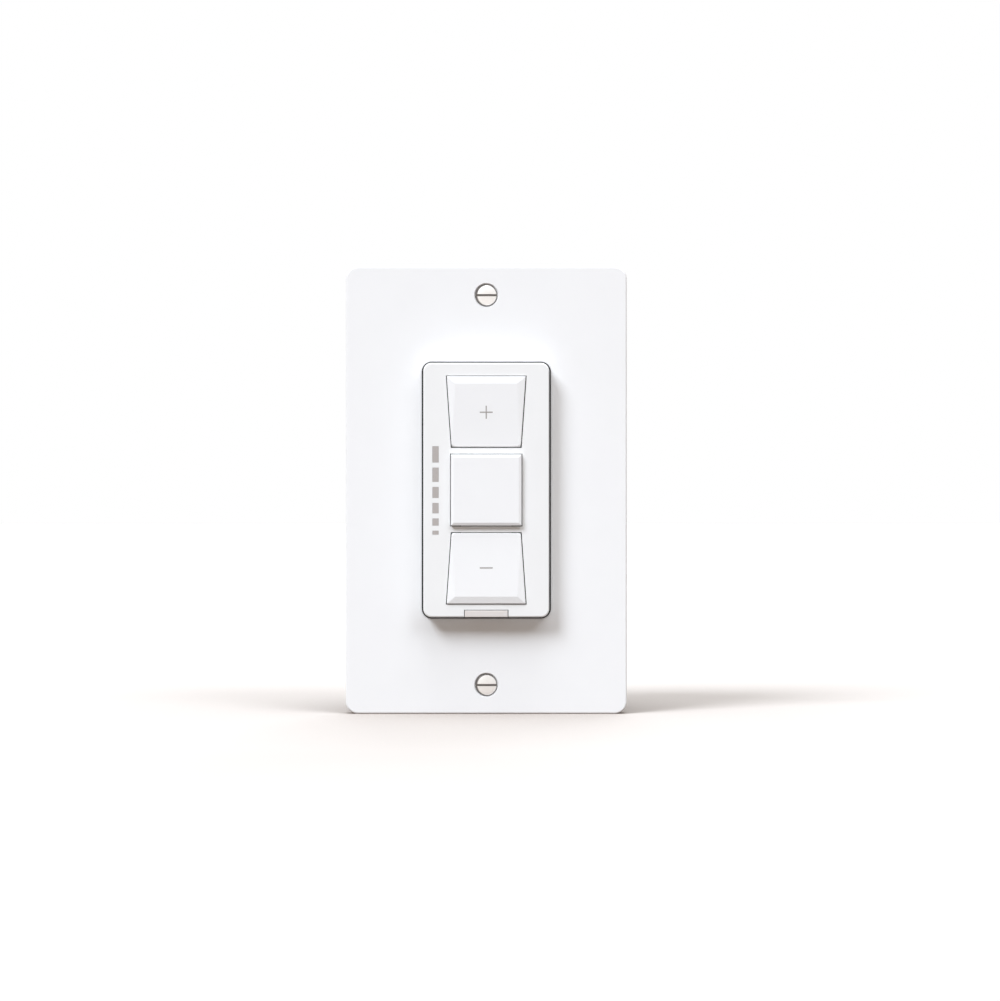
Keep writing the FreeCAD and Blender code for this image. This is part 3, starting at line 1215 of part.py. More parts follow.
def transistor_tab(side):
    """The metal tab that lies on the strap, with its screw hole."""
    x = side * TRANSISTOR_X
    half = TRANSISTOR_WIDTH / 2
    back = TRANSISTOR_FRONT + TRANSISTOR_TAB
    tab = block(x - half, x + half, TRANSISTOR_FRONT, back, TRANSISTOR_LOW_Z, TRANSISTOR_TOP_Z)
    hole = TRANSISTOR_SCREW_RADIUS + SCREW_HOLE_GAP
    return tab.cut(rod(hole, TRANSISTOR_FRONT, back, x, TRANSISTOR_HOLE_Z))


def transistor_body(side):
    x = side * TRANSISTOR_X
    half = TRANSISTOR_WIDTH / 2
    front = TRANSISTOR_FRONT + TRANSISTOR_TAB
    back = TRANSISTOR_FRONT + TRANSISTOR_THICKNESS
    body = block(x - half, x + half, front, back, TRANSISTOR_LOW_Z, TRANSISTOR_LOW_Z + TRANSISTOR_BODY_HEIGHT)
    return body.makeChamfer(TRANSISTOR_CHAMFER, edges_in_plane(body, back))


def lead_places():
    """Where each lead passes through the power board."""
    return [(side * TRANSISTOR_X + step * LEAD_PITCH, LEAD_Z) for side in ENDS for step in (-1, 0, 1)]


def transistor_lead(x):
    """A lead that leaves the body's lower end and bends back into the power board."""
    low = LEAD_Z - LEAD_THICKNESS / 2
    y0 = TRANSISTOR_FRONT + TRANSISTOR_TAB + LEAD_THICKNESS
    drop = block(x - LEAD_WIDTH / 2, x + LEAD_WIDTH / 2, y0, y0 + LEAD_THICKNESS, low, TRANSISTOR_LOW_Z)
    run = block(
        x - LEAD_WIDTH / 2, x + LEAD_WIDTH / 2, y0, POWER_BOARD_BACK + LEAD_BEYOND, low, low + LEAD_THICKNESS)
    return joined(drop, [run])


def transistor_screw(side):
    seat_y = TRANSISTOR_FRONT + TRANSISTOR_TAB
    length = seat_y - STRAP_FRONT - THREAD_GAP
    return pan_screw(
        TRANSISTOR_SCREW_HEAD, TRANSISTOR_SCREW_HEIGHT, TRANSISTOR_SCREW_RADIUS, length,
        HOUSING_SCREW_SLOT, Vector(side * TRANSISTOR_X, seat_y, TRANSISTOR_HOLE_Z), Vector(0, -1, 0))


def thermal_pad():
    half = PAD_WIDTH / 2
    low = TRANSISTOR_LOW_Z - PAD_MARGIN
    pad = block(-half, half, STRAP_BACK, TRANSISTOR_FRONT, low, TRANSISTOR_TOP_Z + PAD_MARGIN)
    hole = TRANSISTOR_SCREW_RADIUS + SCREW_HOLE_GAP
    holes = [rod(hole, STRAP_BACK, TRANSISTOR_FRONT, side * TRANSISTOR_X, TRANSISTOR_HOLE_Z) for side in ENDS]
    return pad.cut(holes)


def build():
    os.makedirs("parts", exist_ok=True)
    save("wall_plate", wall_plate())
    save("plate_screws", [plate_screw(end * PLATE_SCREW_SPACING / 2) for end in ENDS])
    save("face_cap", face_cap())
    save("mid_frame", mid_frame())
    plus = plus_key()
    save("plus_key", plus)
    save("minus_key", other_way_up(plus))
    save("toggle_key", toggle_key())
    save("air_gap_tab", air_gap_tab())
    save("air_gap_bridge", air_gap_bridge())
    save("air_gap_contacts", [air_gap_contact(side) for side in ENDS])
    save("light_guide", light_guide())
    save("indicator_leds", indicator_leds())
    save("control_board", control_board())
    save("switch_bodies", [switch_body(z) for z in switch_places()])
    for name, z in zip(("plus", "toggle", "minus"), switch_places()):
        save(name + "_switch_stem", switch_stem(z))
    save("radio_module", radio_module())
    save("controller_chip", controller_chip())
    save("header_body", header_body())
    save("header_pins", header_pins())
    save("mounting_strap", mounting_strap())
    save("box_screws", [box_screw(end) for end in ENDS])
    save("screw_retainers", [screw_retainer(end) for end in ENDS])
    save("ground_screw", ground_screw())
    save("rear_housing", rear_housing())
    save("housing_screws", [housing_screw(x, z) for x, z in CORNERS])
    save("terminal_plates", [terminal_plate(side, z) for side, z in TERMINALS])
    save("terminal_screws", [terminal_screw(side, z) for side, z in TERMINALS])
    save("power_board", power_board())
    save("choke_core", choke_core())
    save("choke_winding", choke_winding())
    save("filter_capacitor", filter_capacitor())
    save("reservoir_capacitors", [reservoir_capacitor(side) for side in ENDS])
    save("transformer_core", transformer_core())
    save("transformer_coil", transformer_coil())
    save("surge_suppressor", surge_suppressor())
    save("fuse_body", fuse_body())
    save("fuse_caps", [fuse_cap(end) for end in ENDS])
    save("transistor_tabs", [transistor_tab(side) for side in ENDS])
    save("transistor_bodies", [transistor_body(side) for side in ENDS])
    save("transistor_leads", [transistor_lead(x) for x, z in lead_places()])
    save("transistor_screws", [transistor_screw(side) for side in ENDS])
    save("thermal_pad", thermal_pad())


build()
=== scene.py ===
import math

import bmesh
import bpy
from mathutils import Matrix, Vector


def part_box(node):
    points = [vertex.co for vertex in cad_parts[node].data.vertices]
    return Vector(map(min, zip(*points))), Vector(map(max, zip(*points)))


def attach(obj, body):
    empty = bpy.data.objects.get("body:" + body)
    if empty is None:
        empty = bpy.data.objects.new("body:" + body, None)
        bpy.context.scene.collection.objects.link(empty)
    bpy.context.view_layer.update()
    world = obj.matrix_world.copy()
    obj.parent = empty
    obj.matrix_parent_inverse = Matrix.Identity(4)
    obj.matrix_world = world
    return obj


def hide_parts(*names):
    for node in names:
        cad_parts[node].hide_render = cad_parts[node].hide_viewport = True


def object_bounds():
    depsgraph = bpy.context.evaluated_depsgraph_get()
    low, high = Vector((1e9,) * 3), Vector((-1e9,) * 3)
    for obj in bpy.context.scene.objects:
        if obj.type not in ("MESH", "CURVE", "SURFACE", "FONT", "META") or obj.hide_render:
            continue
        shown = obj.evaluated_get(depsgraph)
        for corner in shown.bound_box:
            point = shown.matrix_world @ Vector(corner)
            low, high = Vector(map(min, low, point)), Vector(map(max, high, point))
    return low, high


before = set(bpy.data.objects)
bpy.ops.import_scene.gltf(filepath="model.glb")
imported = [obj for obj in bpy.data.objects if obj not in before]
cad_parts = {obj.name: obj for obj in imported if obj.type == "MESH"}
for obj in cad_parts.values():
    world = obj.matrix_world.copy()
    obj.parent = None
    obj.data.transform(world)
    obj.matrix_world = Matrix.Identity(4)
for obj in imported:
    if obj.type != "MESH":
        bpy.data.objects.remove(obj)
cad_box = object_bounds()
MM = 0.001

# Places of the switch's pieces that the looks and the pieces made here keep to, in millimetres
PLATE_FRONT = -6.0
PLATE_SCREW_Z = 48.42
BOX_SCREW_Z = 41.67
HOUSING_SCREW_X = 12.6
HOUSING_SCREW_Z = 28.9
GROUND_SCREW_X = 17.0
GROUND_SCREW_Z = 38.2

# Painted shade on the plate screws: the unshaded disc, its shift to the right, and depths behind the plate's
# front
UNSHADED_RADIUS = 2.4
UNSHADED_SHIFT = 0.25
SEAM_SHADE_FADE = 0.15
SLOT_SHADE_START = -0.1
SLOT_SHADE_END = 0.15
HEAD_BRIGHT_END = 1.2
THREAD_DULL_START = 1.6

# Cut threads of the plate screws and box screws; a ridge's half width is a share of the pitch
SCREW_RADIUS = 1.75
THREAD_PITCH = 0.79
THREAD_DEPTH = 0.42
RIDGE_HALF_WIDTH = 0.42
RIDGE_STEEPNESS = 1.35
TIP_NARROWING = 0.35
TIP_TURNS = 2
THREAD_STEPS = 24
THREAD_RINGS = 6
PLATE_SCREW_CONE_END = 1.66
BOX_SCREW_NECK_END = 0.45

# Wedge keys: corners of the front, and its rise over the face at the inner end, the ridge and the outer end
FACE_FRONT = -10.5
KEY_INNER_X = 8.55
KEY_INNER_Z = 10.65
KEY_RIDGE_X = 7.68
KEY_RIDGE_Z = 26.32
KEY_OUTER_X = 9.75
KEY_OUTER_Z = 28.07
CAD_KEY_RISES = (0.25, 1.1, 0.6)
SEEN_KEY_RISES = (0.25, 0.66, 0.32)

# Printed marks on the keys
MARK_Z = 19.22
MARK_REACH = 1.6
MARK_STROKE = 0.3
MARK_THICKNESS = 0.02
AHEAD_OF_KEYS = -30.0

# Edges that turn by more than this stay sharp
SHARP_DEGREES = 35.0

# Camera: the size of one pixel at the plate's front, and the camera's place before it
FRAME_PIXELS = 1001
PIXEL = 0.2485
SENSOR_WIDTH = 36.0
CAMERA_DISTANCE = 750.0
CAMERA_X = 3.4
CAMERA_Z = -2.583
CLIP_START = 10.0
CLIP_END = 20000.0

# Floor: how far it reaches, and how far from the switch shade is still painted into its colour
FLOOR_REACH = 6000.0
FLOOR_SHADE_REACH = 110.0


# Materials

def linear(hex_colour):
    """Turns an sRGB hex colour into the linear values that Blender mixes."""
    channels = [int(hex_colour[i:i + 2], 16) / 255 for i in (1, 3, 5)]
    spread = [c / 12.92 if c <= 0.04045 else ((c + 0.055) / 1.055) ** 2.4 for c in channels]
    return (*spread, 1.0)


def add_node(tree, kind, settings=None, links=None):
    """Adds a node, sets its inputs and options by name or number, and links its inputs to sockets."""
    node = tree.nodes.new(kind)
    for name, value in (settings or {}).items():
        if isinstance(name, int) or name in node.inputs:
            node.inputs[name].default_value = value
        else:
            setattr(node, name, value)
    for name, socket in (links or {}).items():
        tree.links.new(socket, node.inputs[name])
    return node


def new_material(name):
    """Starts an empty material and gives back its tree, output and place coordinates in metres."""
    material = bpy.data.materials.new(name)
    material.use_nodes = True
    tree = material.node_tree
    tree.nodes.clear()
    output = add_node(tree, "ShaderNodeOutputMaterial")
    place = add_node(tree, "ShaderNodeTexCoord").outputs["Object"]
    return material, tree, output, place


def per_mm(size):
    """The texture scale at which one cell measures this many millimetres."""
    return 1 / (size * MM)


def surface(name, colour, other, roughness, settings, grain, depth, patch=9.0, stretch=(1, 1, 1)):
    """A finish with a fine grain in its relief and gloss, and broad, faint patches in its colour."""
    material, tree, output, place = new_material(name)
    run = add_node(tree, "ShaderNodeMapping", {"Scale": stretch}, {"Vector": place})
    fine = add_node(
        tree, "ShaderNodeTexNoise", {"Scale": per_mm(grain), "Detail": 3.0, "Roughness": 0.6},
        {"Vector": run.outputs["Vector"]})
    broad = add_node(
        tree, "ShaderNodeTexNoise", {"Scale": per_mm(patch), "Detail": 2.0}, {"Vector": place})
    mix = add_node(
        tree, "ShaderNodeMix", {"data_type": "RGBA", 6: linear(colour), 7: linear(other)},
        {0: broad.outputs["Fac"]})
    gloss = add_node(
        tree, "ShaderNodeMapRange",
        {"From Min": 0.3, "From Max": 0.7, "To Min": roughness * 0.88, "To Max": roughness * 1.12},
        {"Value": fine.outputs["Fac"]})
    relief = add_node(
        tree, "ShaderNodeBump", {"Strength": 1.0, "Distance": depth * MM}, {"Height": fine.outputs["Fac"]})
    shader = add_node(
        tree, "ShaderNodeBsdfPrincipled", settings,
        {"Base Color": mix.outputs[2], "Roughness": gloss.outputs["Result"],
         "Normal": relief.outputs["Normal"]})
    tree.links.new(shader.outputs["BSDF"], output.inputs["Surface"])
    return material


def ramp(tree, value, start, end, low, high):
    """Goes evenly from low to high while a length in the scene goes from start to end, in millimetres."""
    step = add_node(
        tree, "ShaderNodeMapRange",
        {"From Min": start * MM, "From Max": end * MM, "To Min": low, "To Max": high}, {"Value": value})
    return step.outputs["Result"]


def painted_head_shade(tree, tone, across, depth, height):
    """Painted shade round a plate screw's head, wider on the left, and painted shade down its slot, with a
    duller thread.
    """
    beside = add_node(
        tree, "ShaderNodeMath", {"operation": "SUBTRACT", 1: UNSHADED_SHIFT * MM}, {0: across})
    flat = add_node(
        tree, "ShaderNodeCombineXYZ", {"Z": 0.0}, {"X": beside.outputs["Value"], "Y": height})
    radius = add_node(tree, "ShaderNodeVectorMath", {"operation": "LENGTH"}, {0: flat.outputs["Vector"]})
    # Painted shade: the seam round the head is darkened, and the ring is wider on the left because its centre
    # is shifted right
    rim = ramp(tree, radius.outputs["Value"], UNSHADED_RADIUS, UNSHADED_RADIUS + SEAM_SHADE_FADE, 0.0, 1.0)
    # Painted shade: the slot's floor and walls are darkened by their depth behind the plate's front
    slot = ramp(tree, depth, PLATE_FRONT + SLOT_SHADE_START, PLATE_FRONT + SLOT_SHADE_END, 0.0, 1.0)
    head = ramp(tree, depth, PLATE_FRONT + HEAD_BRIGHT_END, PLATE_FRONT + THREAD_DULL_START, 1.0, 0.0)
    most = add_node(tree, "ShaderNodeMath", {"operation": "MAXIMUM"}, {0: rim, 1: slot})
    share = add_node(
        tree, "ShaderNodeMath", {"operation": "MULTIPLY"}, {0: most.outputs["Value"], 1: head})
    # 85817E is the colour of the painted shade round the head and in the slot
    painted_shade = add_node(
        tree, "ShaderNodeMix", {"data_type": "RGBA", 7: linear("#85817E")},
        {0: share.outputs["Value"], 6: tone})
    whole = add_node(
        tree, "ShaderNodeMix", {"data_type": "RGBA", 6: linear("#A7A29B")}, {0: head, 7: painted_shade.outputs[2]})
    return whole.outputs[2]


def turned_metal(name, colour, other, roughness, groove, depth, centre, painted_shade=False):
    """A screw's metal: rings left by turning, round the axis of the screw nearest to each point.

    Real turning marks are some 0.05 mm apart. They are drawn three times as wide, so that they show."""
    material, tree, output, place = new_material(name)
    parts = add_node(tree, "ShaderNodeSeparateXYZ", None, {"Vector": place})
    offsets = []
    for axis, middle in zip("XZ", centre):
        folded = add_node(
            tree, "ShaderNodeMath", {"operation": "ABSOLUTE"}, {0: parts.outputs[axis]})
        offset = add_node(
            tree, "ShaderNodeMath", {"operation": "SUBTRACT", 1: middle * MM}, {0: folded.outputs["Value"]})
        offsets.append(offset.outputs["Value"])
    flat = add_node(
        tree, "ShaderNodeCombineXYZ", {"Z": 0.0}, {"X": offsets[0], "Y": offsets[1]})
    radius = add_node(tree, "ShaderNodeVectorMath", {"operation": "LENGTH"}, {0: flat.outputs["Vector"]})
    stack = add_node(
        tree, "ShaderNodeCombineXYZ", {"Z": 0.0}, {"X": radius.outputs["Value"], "Y": parts.outputs["Y"]})
    rings = add_node(
        tree, "ShaderNodeTexNoise", {"Scale": per_mm(groove), "Detail": 2.0, "Roughness": 0.5},
        {"Vector": stack.outputs["Vector"]})
    wear = add_node(tree, "ShaderNodeTexNoise", {"Scale": per_mm(1.8), "Detail": 4.0}, {"Vector": place})
    mix = add_node(
        tree, "ShaderNodeMix", {"data_type": "RGBA", 6: linear(colour), 7: linear(other)},
        {0: wear.outputs["Fac"]})
    tone = mix.outputs[2]
    if painted_shade:
        tone = painted_head_shade(tree, tone, parts.outputs["X"], parts.outputs["Y"], offsets[1])
    relief = add_node(
        tree, "ShaderNodeBump", {"Strength": 1.0, "Distance": depth * MM}, {"Height": rings.outputs["Fac"]})
    gloss = add_node(
        tree, "ShaderNodeMapRange", {"To Min": roughness * 0.8, "To Max": roughness * 1.2},
        {"Value": wear.outputs["Fac"]})
    shader = add_node(
        tree, "ShaderNodeBsdfPrincipled", {"Metallic": 1.0},
        {"Base Color": tone, "Roughness": gloss.outputs["Result"], "Normal": relief.outputs["Normal"]})
    tree.links.new(shader.outputs["BSDF"], output.inputs["Surface"])
    return material


def zinc_sheet():
    """Zinc-plated steel, stamped: pale grey metal with faint patches of crystal and rolling lines.

    Real rolling lines are about 0.02 mm wide. They are drawn at 0.12 mm, so that they show."""
    material, tree, output, place = new_material("zinc_plated_steel_stamped")
    crystals = add_node(
        tree, "ShaderNodeTexVoronoi", {"Scale": per_mm(1.6), "Randomness": 1.0}, {"Vector": place})
    run = add_node(tree, "ShaderNodeMapping", {"Scale": (1, 1, 0.05)}, {"Vector": place})
    lines = add_node(
        tree, "ShaderNodeTexNoise", {"Scale": per_mm(0.12), "Detail": 3.0}, {"Vector": run.outputs["Vector"]})
    mix = add_node(
        tree, "ShaderNodeMix",
        {"data_type": "RGBA", 6: linear("#B9BCBE"), 7: linear("#CED0D1")},
        {0: crystals.outputs["Distance"]})
    patched = add_node(
        tree, "ShaderNodeMix", {"data_type": "RGBA", "blend_type": "MULTIPLY", 0: 0.35},
        {6: mix.outputs[2], 7: crystals.outputs["Color"]})
    grey = add_node(
        tree, "ShaderNodeHueSaturation", {"Saturation": 0.12, "Value": 1.15}, {"Color": patched.outputs[2]})
    gloss = add_node(
        tree, "ShaderNodeMapRange", {"To Min": 0.3, "To Max": 0.46}, {"Value": lines.outputs["Fac"]})
    relief = add_node(
        tree, "ShaderNodeBump", {"Strength": 1.0, "Distance": 0.006 * MM}, {"Height": lines.outputs["Fac"]})
    shader = add_node(
        tree, "ShaderNodeBsdfPrincipled", {"Metallic": 1.0},
        {"Base Color": grey.outputs["Color"], "Roughness": gloss.outputs["Result"],
         "Normal": relief.outputs["Normal"]})
    tree.links.new(shader.outputs["BSDF"], output.inputs["Surface"])
    return material


def circuit_board():
    """Glass-epoxy board, solder-masked green: paler lines where copper runs, and an uneven gloss."""
    material, tree, output, place = new_material("glass_epoxy_board_masked")
    upright = add_node(tree, "ShaderNodeMapping", {"Rotation": (math.pi / 2, 0, 0)}, {"Vector": place})
    tracks = add_node(
        tree, "ShaderNodeTexBrick",
        {"Scale": per_mm(1.0), "Mortar Size": 0.18, "Brick Width": 7.0, "Row Height": 1.3, "Bias": 0.0,
         "Color1": linear("#14532F"), "Color2": linear("#17603A"), "Mortar": linear("#2A7A4C")},
        {"Vector": upright.outputs["Vector"]})
    weave = add_node(tree, "ShaderNodeTexNoise", {"Scale": per_mm(0.4), "Detail": 2.0}, {"Vector": place})
    relief = add_node(
        tree, "ShaderNodeBump", {"Strength": 0.6, "Distance": 0.03 * MM}, {"Height": tracks.outputs["Fac"]})
    gloss = add_node(
        tree, "ShaderNodeMapRange", {"To Min": 0.25, "To Max": 0.4}, {"Value": weave.outputs["Fac"]})
    shader = add_node(
        tree, "ShaderNodeBsdfPrincipled", {"IOR": 1.54},
        {"Base Color": tracks.outputs["Color"], "Roughness": gloss.outputs["Result"],
         "Normal": relief.outputs["Normal"]})
    tree.links.new(shader.outputs["BSDF"], output.inputs["Surface"])
    return material


# The finishes. Moulding grain and rolling lines are really 0.02 to 0.1 mm across, too fine to show in the
# render, so wherever a finish below has them they are drawn at 0.12 to 0.4 mm.

# Polycarbonate moulded in a polished tool: a clean cool white with a soft gloss and a trace of waviness
plate_white = surface(
    "polycarbonate_moulded_semi_gloss", "#F5F7F8", "#F2F4F5", 0.34,
    {"IOR": 1.58, "Coat Weight": 0.15, "Coat Roughness": 0.12},
    grain=0.9, depth=0.004)

# ABS moulded in a spark-eroded tool: a fine even grain, drawn coarser than real, that dulls the white
face_white = surface(
    "abs_moulded_fine_grain", "#F2F4F4", "#EEF0F0", 0.46, {"IOR": 1.54},
    grain=0.22, depth=0.006)

# The keys come from a tool of their own: a touch smoother and a shade lighter than the face
key_white = surface(
    "abs_moulded_satin_keys", "#F4F6F7", "#F1F3F4", 0.4, {"IOR": 1.54},
    grain=0.2, depth=0.005)

# Acetal, which slides well: a warmer, slightly waxy off-white on the pull tab, darker than the face partly as
# painted shade for the shade the tab sits in below the minus key
tab_white = surface(
    "acetal_moulded_tab", "#E1DDDA", "#DCD8D5", 0.38,
    {"IOR": 1.48, "Subsurface Weight": 0.1, "Subsurface Radius": (0.0005, 0.0004, 0.0003)},
    grain=0.3, depth=0.005)

# Very dark grey ABS, grained: reads as a fine dark line round the face
frame_grey = surface(
    "abs_moulded_dark_grey", "#131315", "#19191B", 0.5, {"IOR": 1.54},
    grain=0.25, depth=0.012)

# Grey-tinted acrylic, moulded: unlit bars look like flat warm grey windows
guide_grey = surface(
    "acrylic_moulded_grey_tint", "#BAB5B2", "#B2ADAA", 0.3,
    {"IOR": 1.49, "Subsurface Weight": 0.2, "Subsurface Radius": (0.0008, 0.0007, 0.0006)},
    grain=0.5, depth=0.003)

# Black ABS with a coarse grain that scatters light, so that the housing's edges show
housing_black = surface(
    "flame_retardant_abs_coarse_grain", "#1A1A1C", "#232326", 0.55, {"IOR": 1.54},
    grain=0.4, depth=0.07)

# Nickel-plated screws: bright, a little warm, with rings from turning the heads, and painted shade in the
# seam round each head and down its slot
nickel = turned_metal(
    "nickel_plated_turned", "#F8F6F3", "#ECE9E5", 0.42,
    groove=0.16, depth=0.006, centre=(0.0, PLATE_SCREW_Z), painted_shade=True)

# Zinc-plated screws with a clear passivation: cooler and duller than the nickel
zinc_screws = turned_metal(
    "zinc_plated_turned", "#B4B8BC", "#A4A8AE", 0.36,
    groove=0.18, depth=0.008, centre=(0.0, BOX_SCREW_Z))
zinc_housing_screws = turned_metal(
    "zinc_plated_turned_small", "#B0B4B8", "#A2A6AC", 0.38,
    groove=0.15, depth=0.008, centre=(HOUSING_SCREW_X, HOUSING_SCREW_Z))

# Zinc dyed green, as every ground screw is: a metal sheen under a clear green
green_screw = turned_metal(
    "green_dyed_zinc", "#2F7A45", "#276A3B", 0.38,
    groove=0.18, depth=0.008, centre=(GROUND_SCREW_X, GROUND_SCREW_Z))

zinc_steel = zinc_sheet()
board_green = circuit_board()

# Vulcanised fibre, punched: a matt brick red with pressed paper fibres running through it
fibre_red = surface(
    "vulcanised_fibre_punched", "#8C3B2B", "#74301F", 0.7, {"IOR": 1.5},
    grain=0.25, depth=0.03, patch=1.6, stretch=(1, 1, 0.25))

# Brass strip, stamped and bright dipped: warm yellow with faint rolling lines
brass = surface(
    "brass_stamped", "#C9A45C", "#B58F49", 0.32, {"Metallic": 1.0},
    grain=0.14, depth=0.006, patch=3.0, stretch=(1, 0.06, 1))

# Tin-plated copper and steel, dipped: soft silver with a cloudy bloom
tinned = surface(
    "tinned_sheet", "#C9CBCC", "#B6B9BB", 0.34, {"Metallic": 1.0},
    grain=0.3, depth=0.006, patch=2.5)

# Black epoxy, moulded, of chips and power transistors: matt, with a faint grain
epoxy_black = surface(
    "epoxy_moulded_black", "#1A1A1B", "#222223", 0.6, {"IOR": 1.55},
    grain=0.15, depth=0.012, patch=3.0)

# Sintered ferrite: charcoal grey, dull, with a sandy grain
ferrite = surface(
    "ferrite_sintered", "#37373A", "#2C2C2F", 0.68, {"IOR": 1.6},
    grain=0.3, depth=0.03, patch=2.0)

# Polyester tape over the windings: amber and glossy, with wrinkles along the wrap
amber_tape = surface(
    "polyester_tape_wound", "#C48A1E", "#A87216", 0.26, {"IOR": 1.6, "Coat Weight": 0.4},
    grain=0.8, depth=0.05, patch=4.0, stretch=(0.3, 1, 1))

# Polybutylene, moulded, as the film capacitor's case: flat mustard yellow with a light gloss
film_yellow = surface(
    "polybutylene_case_yellow", "#D8A92C", "#CD9C22", 0.4, {"IOR": 1.55},
    grain=0.35, depth=0.012, patch=5.0)

# Vinyl sleeve, heat-shrunk, on the reservoir capacitors: near-black blue and glossy
sleeve_dark = surface(
    "shrunk_sleeve_dark", "#1C2233", "#171C2B", 0.28, {"IOR": 1.54},
    grain=0.6, depth=0.01, patch=3.0)

# Epoxy, dipped, on the suppressor: glossy blue with a gently uneven skin
epoxy_blue = surface(
    "epoxy_dipped_blue", "#1F4E9C", "#1A4288", 0.24, {"IOR": 1.55, "Coat Weight": 0.3},
    grain=0.9, depth=0.03, patch=2.5)

# Glazed ceramic fuse tube: off-white, smooth and hard
glaze_white = surface(
    "ceramic_glazed", "#E6E2D8", "#DDD9CE", 0.2, {"IOR": 1.55},
    grain=0.6, depth=0.006, patch=2.0)

# Silicone filled with ceramic, cut from sheet: soft matt blue-grey, faintly mottled
silicone_grey = surface(
    "silicone_sheet_filled", "#74808A", "#68747E", 0.75, {"IOR": 1.43},
    grain=0.4, depth=0.02, patch=3.0)

# Epoxy resin, cast over the indicator chips: milky, with a pale tint
clear_resin = surface(
    "epoxy_resin_clear", "#E4E2D6", "#D8D6CA", 0.2, {"IOR": 1.52, "Subsurface Weight": 0.3},
    grain=0.3, depth=0.005, patch=0.8)

# Pad-printed ink: thin, dull and warm grey, with a slightly uneven tone
grey_ink = surface(
    "pad_printed_ink_grey", "#9C9895", "#A5A19E", 0.62, {"IOR": 1.5},
    grain=0.12, depth=0.003, patch=0.6)

# Which finish each node has
FINISHES = {
    "wall_plate": plate_white,
    "plate_screws": nickel,
    "face_cap": face_white,
    "mid_frame": frame_grey,
    "plus_key": key_white,
    "minus_key": key_white,
    "toggle_key": key_white,
    "air_gap_tab": tab_white,
    "air_gap_bridge": brass,
    "air_gap_contacts": brass,
    "light_guide": guide_grey,
    "indicator_leds": clear_resin,
    "control_board": board_green,
    "switch_bodies": epoxy_black,
    "plus_switch_stem": epoxy_black,
    "toggle_switch_stem": epoxy_black,
    "minus_switch_stem": epoxy_black,
    "radio_module": tinned,
    "controller_chip": epoxy_black,
    "header_body": epoxy_black,
    "header_pins": brass,
    "mounting_strap": zinc_steel,
    "box_screws": zinc_screws,
    "screw_retainers": fibre_red,
    "ground_screw": green_screw,
    "rear_housing": housing_black,
    "housing_screws": zinc_housing_screws,
    "terminal_plates": brass,
    "terminal_screws": brass,
    "power_board": board_green,
    "choke_core": ferrite,
    "choke_winding": amber_tape,
    "filter_capacitor": film_yellow,
    "reservoir_capacitors": sleeve_dark,
    "transformer_core": ferrite,
    "transformer_coil": amber_tape,
    "surge_suppressor": epoxy_blue,
    "fuse_body": glaze_white,
    "fuse_caps": tinned,
    "transistor_tabs": tinned,
    "transistor_bodies": epoxy_black,
    "transistor_leads": tinned,
    "transistor_screws": zinc_housing_screws,
    "thermal_pad": silicone_grey,
}


for node_name, finish in FINISHES.items():
    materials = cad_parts[node_name].data.materials
    materials.clear()
    materials.append(finish)


# Pieces made here

def put_in_scene(name, data):
    """An object of this name for a mesh, camera or lamp."""
    holder = bpy.data.objects.new(name, data)
    bpy.context.collection.objects.link(holder)
    return holder


def new_piece(name, mesh_maker, material, body):
    """Makes a piece from a function that fills a bmesh, and lets it ride on a body."""
    mesh = bpy.data.meshes.new(name)
    shape = bmesh.new()
    mesh_maker(shape)
    bmesh.ops.recalc_face_normals(shape, faces=shape.faces)
    shape.to_mesh(mesh)
    shape.free()
    mesh.shade_smooth()
    mesh.set_sharp_from_angle(angle=math.radians(SHARP_DEGREES))
    mesh.materials.append(material)
    piece = put_in_scene(name, mesh)
    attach(piece, body)
    return piece


def add_thread(shape, z, start, end):
    """A threaded shank along Y: its radius swings from root to crest as it winds, and its tip tapers."""
    root = SCREW_RADIUS - THREAD_DEPTH
    rings = int((end - start) / THREAD_PITCH * THREAD_RINGS)
    rows = []
    for ring in range(rings + 1):
        y = start + (end - start) * ring / rings
        taper = min(1.0, (rings - ring) / (TIP_TURNS * THREAD_RINGS))
        row = []
        for step in range(THREAD_STEPS):
            turn = step / THREAD_STEPS
            phase = (y / THREAD_PITCH - turn) % 1.0
            rise = max(0.0, 1 - abs(phase - 0.5) / RIDGE_HALF_WIDTH)
            ridge = THREAD_DEPTH * min(1.0, rise * RIDGE_STEEPNESS)
            radius = root + ridge * taper - (1 - taper) * TIP_NARROWING
            angle = 2 * math.pi * turn
            row.append(shape.verts.new(
                (radius * math.cos(angle) * MM, y * MM, (z + radius * math.sin(angle)) * MM)))
        rows.append(row)
    for near, far in zip(rows, rows[1:]):
        for step in range(THREAD_STEPS):
            after = (step + 1) % THREAD_STEPS
            shape.faces.new((near[step], near[after], far[after], far[step]))
    shape.faces.new(rows[0])
    shape.faces.new(rows[-1])


def threaded_screws(node_name, z, start):
    """The CAD screws' own heads, with their plain shanks swapped for cut threads from start to the tips."""
    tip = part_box(node_name)[1].y / MM
    just_behind = (start + THREAD_PITCH / 10) * MM

    def build(shape):
        shape.from_mesh(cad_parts[node_name].data)
        shank = [vert for vert in shape.verts if vert.co.y > just_behind]
        bmesh.ops.delete(shape, geom=shank, context="VERTS")
        for side in (-1, 1):
            add_thread(shape, side * z, start, tip)
    return build


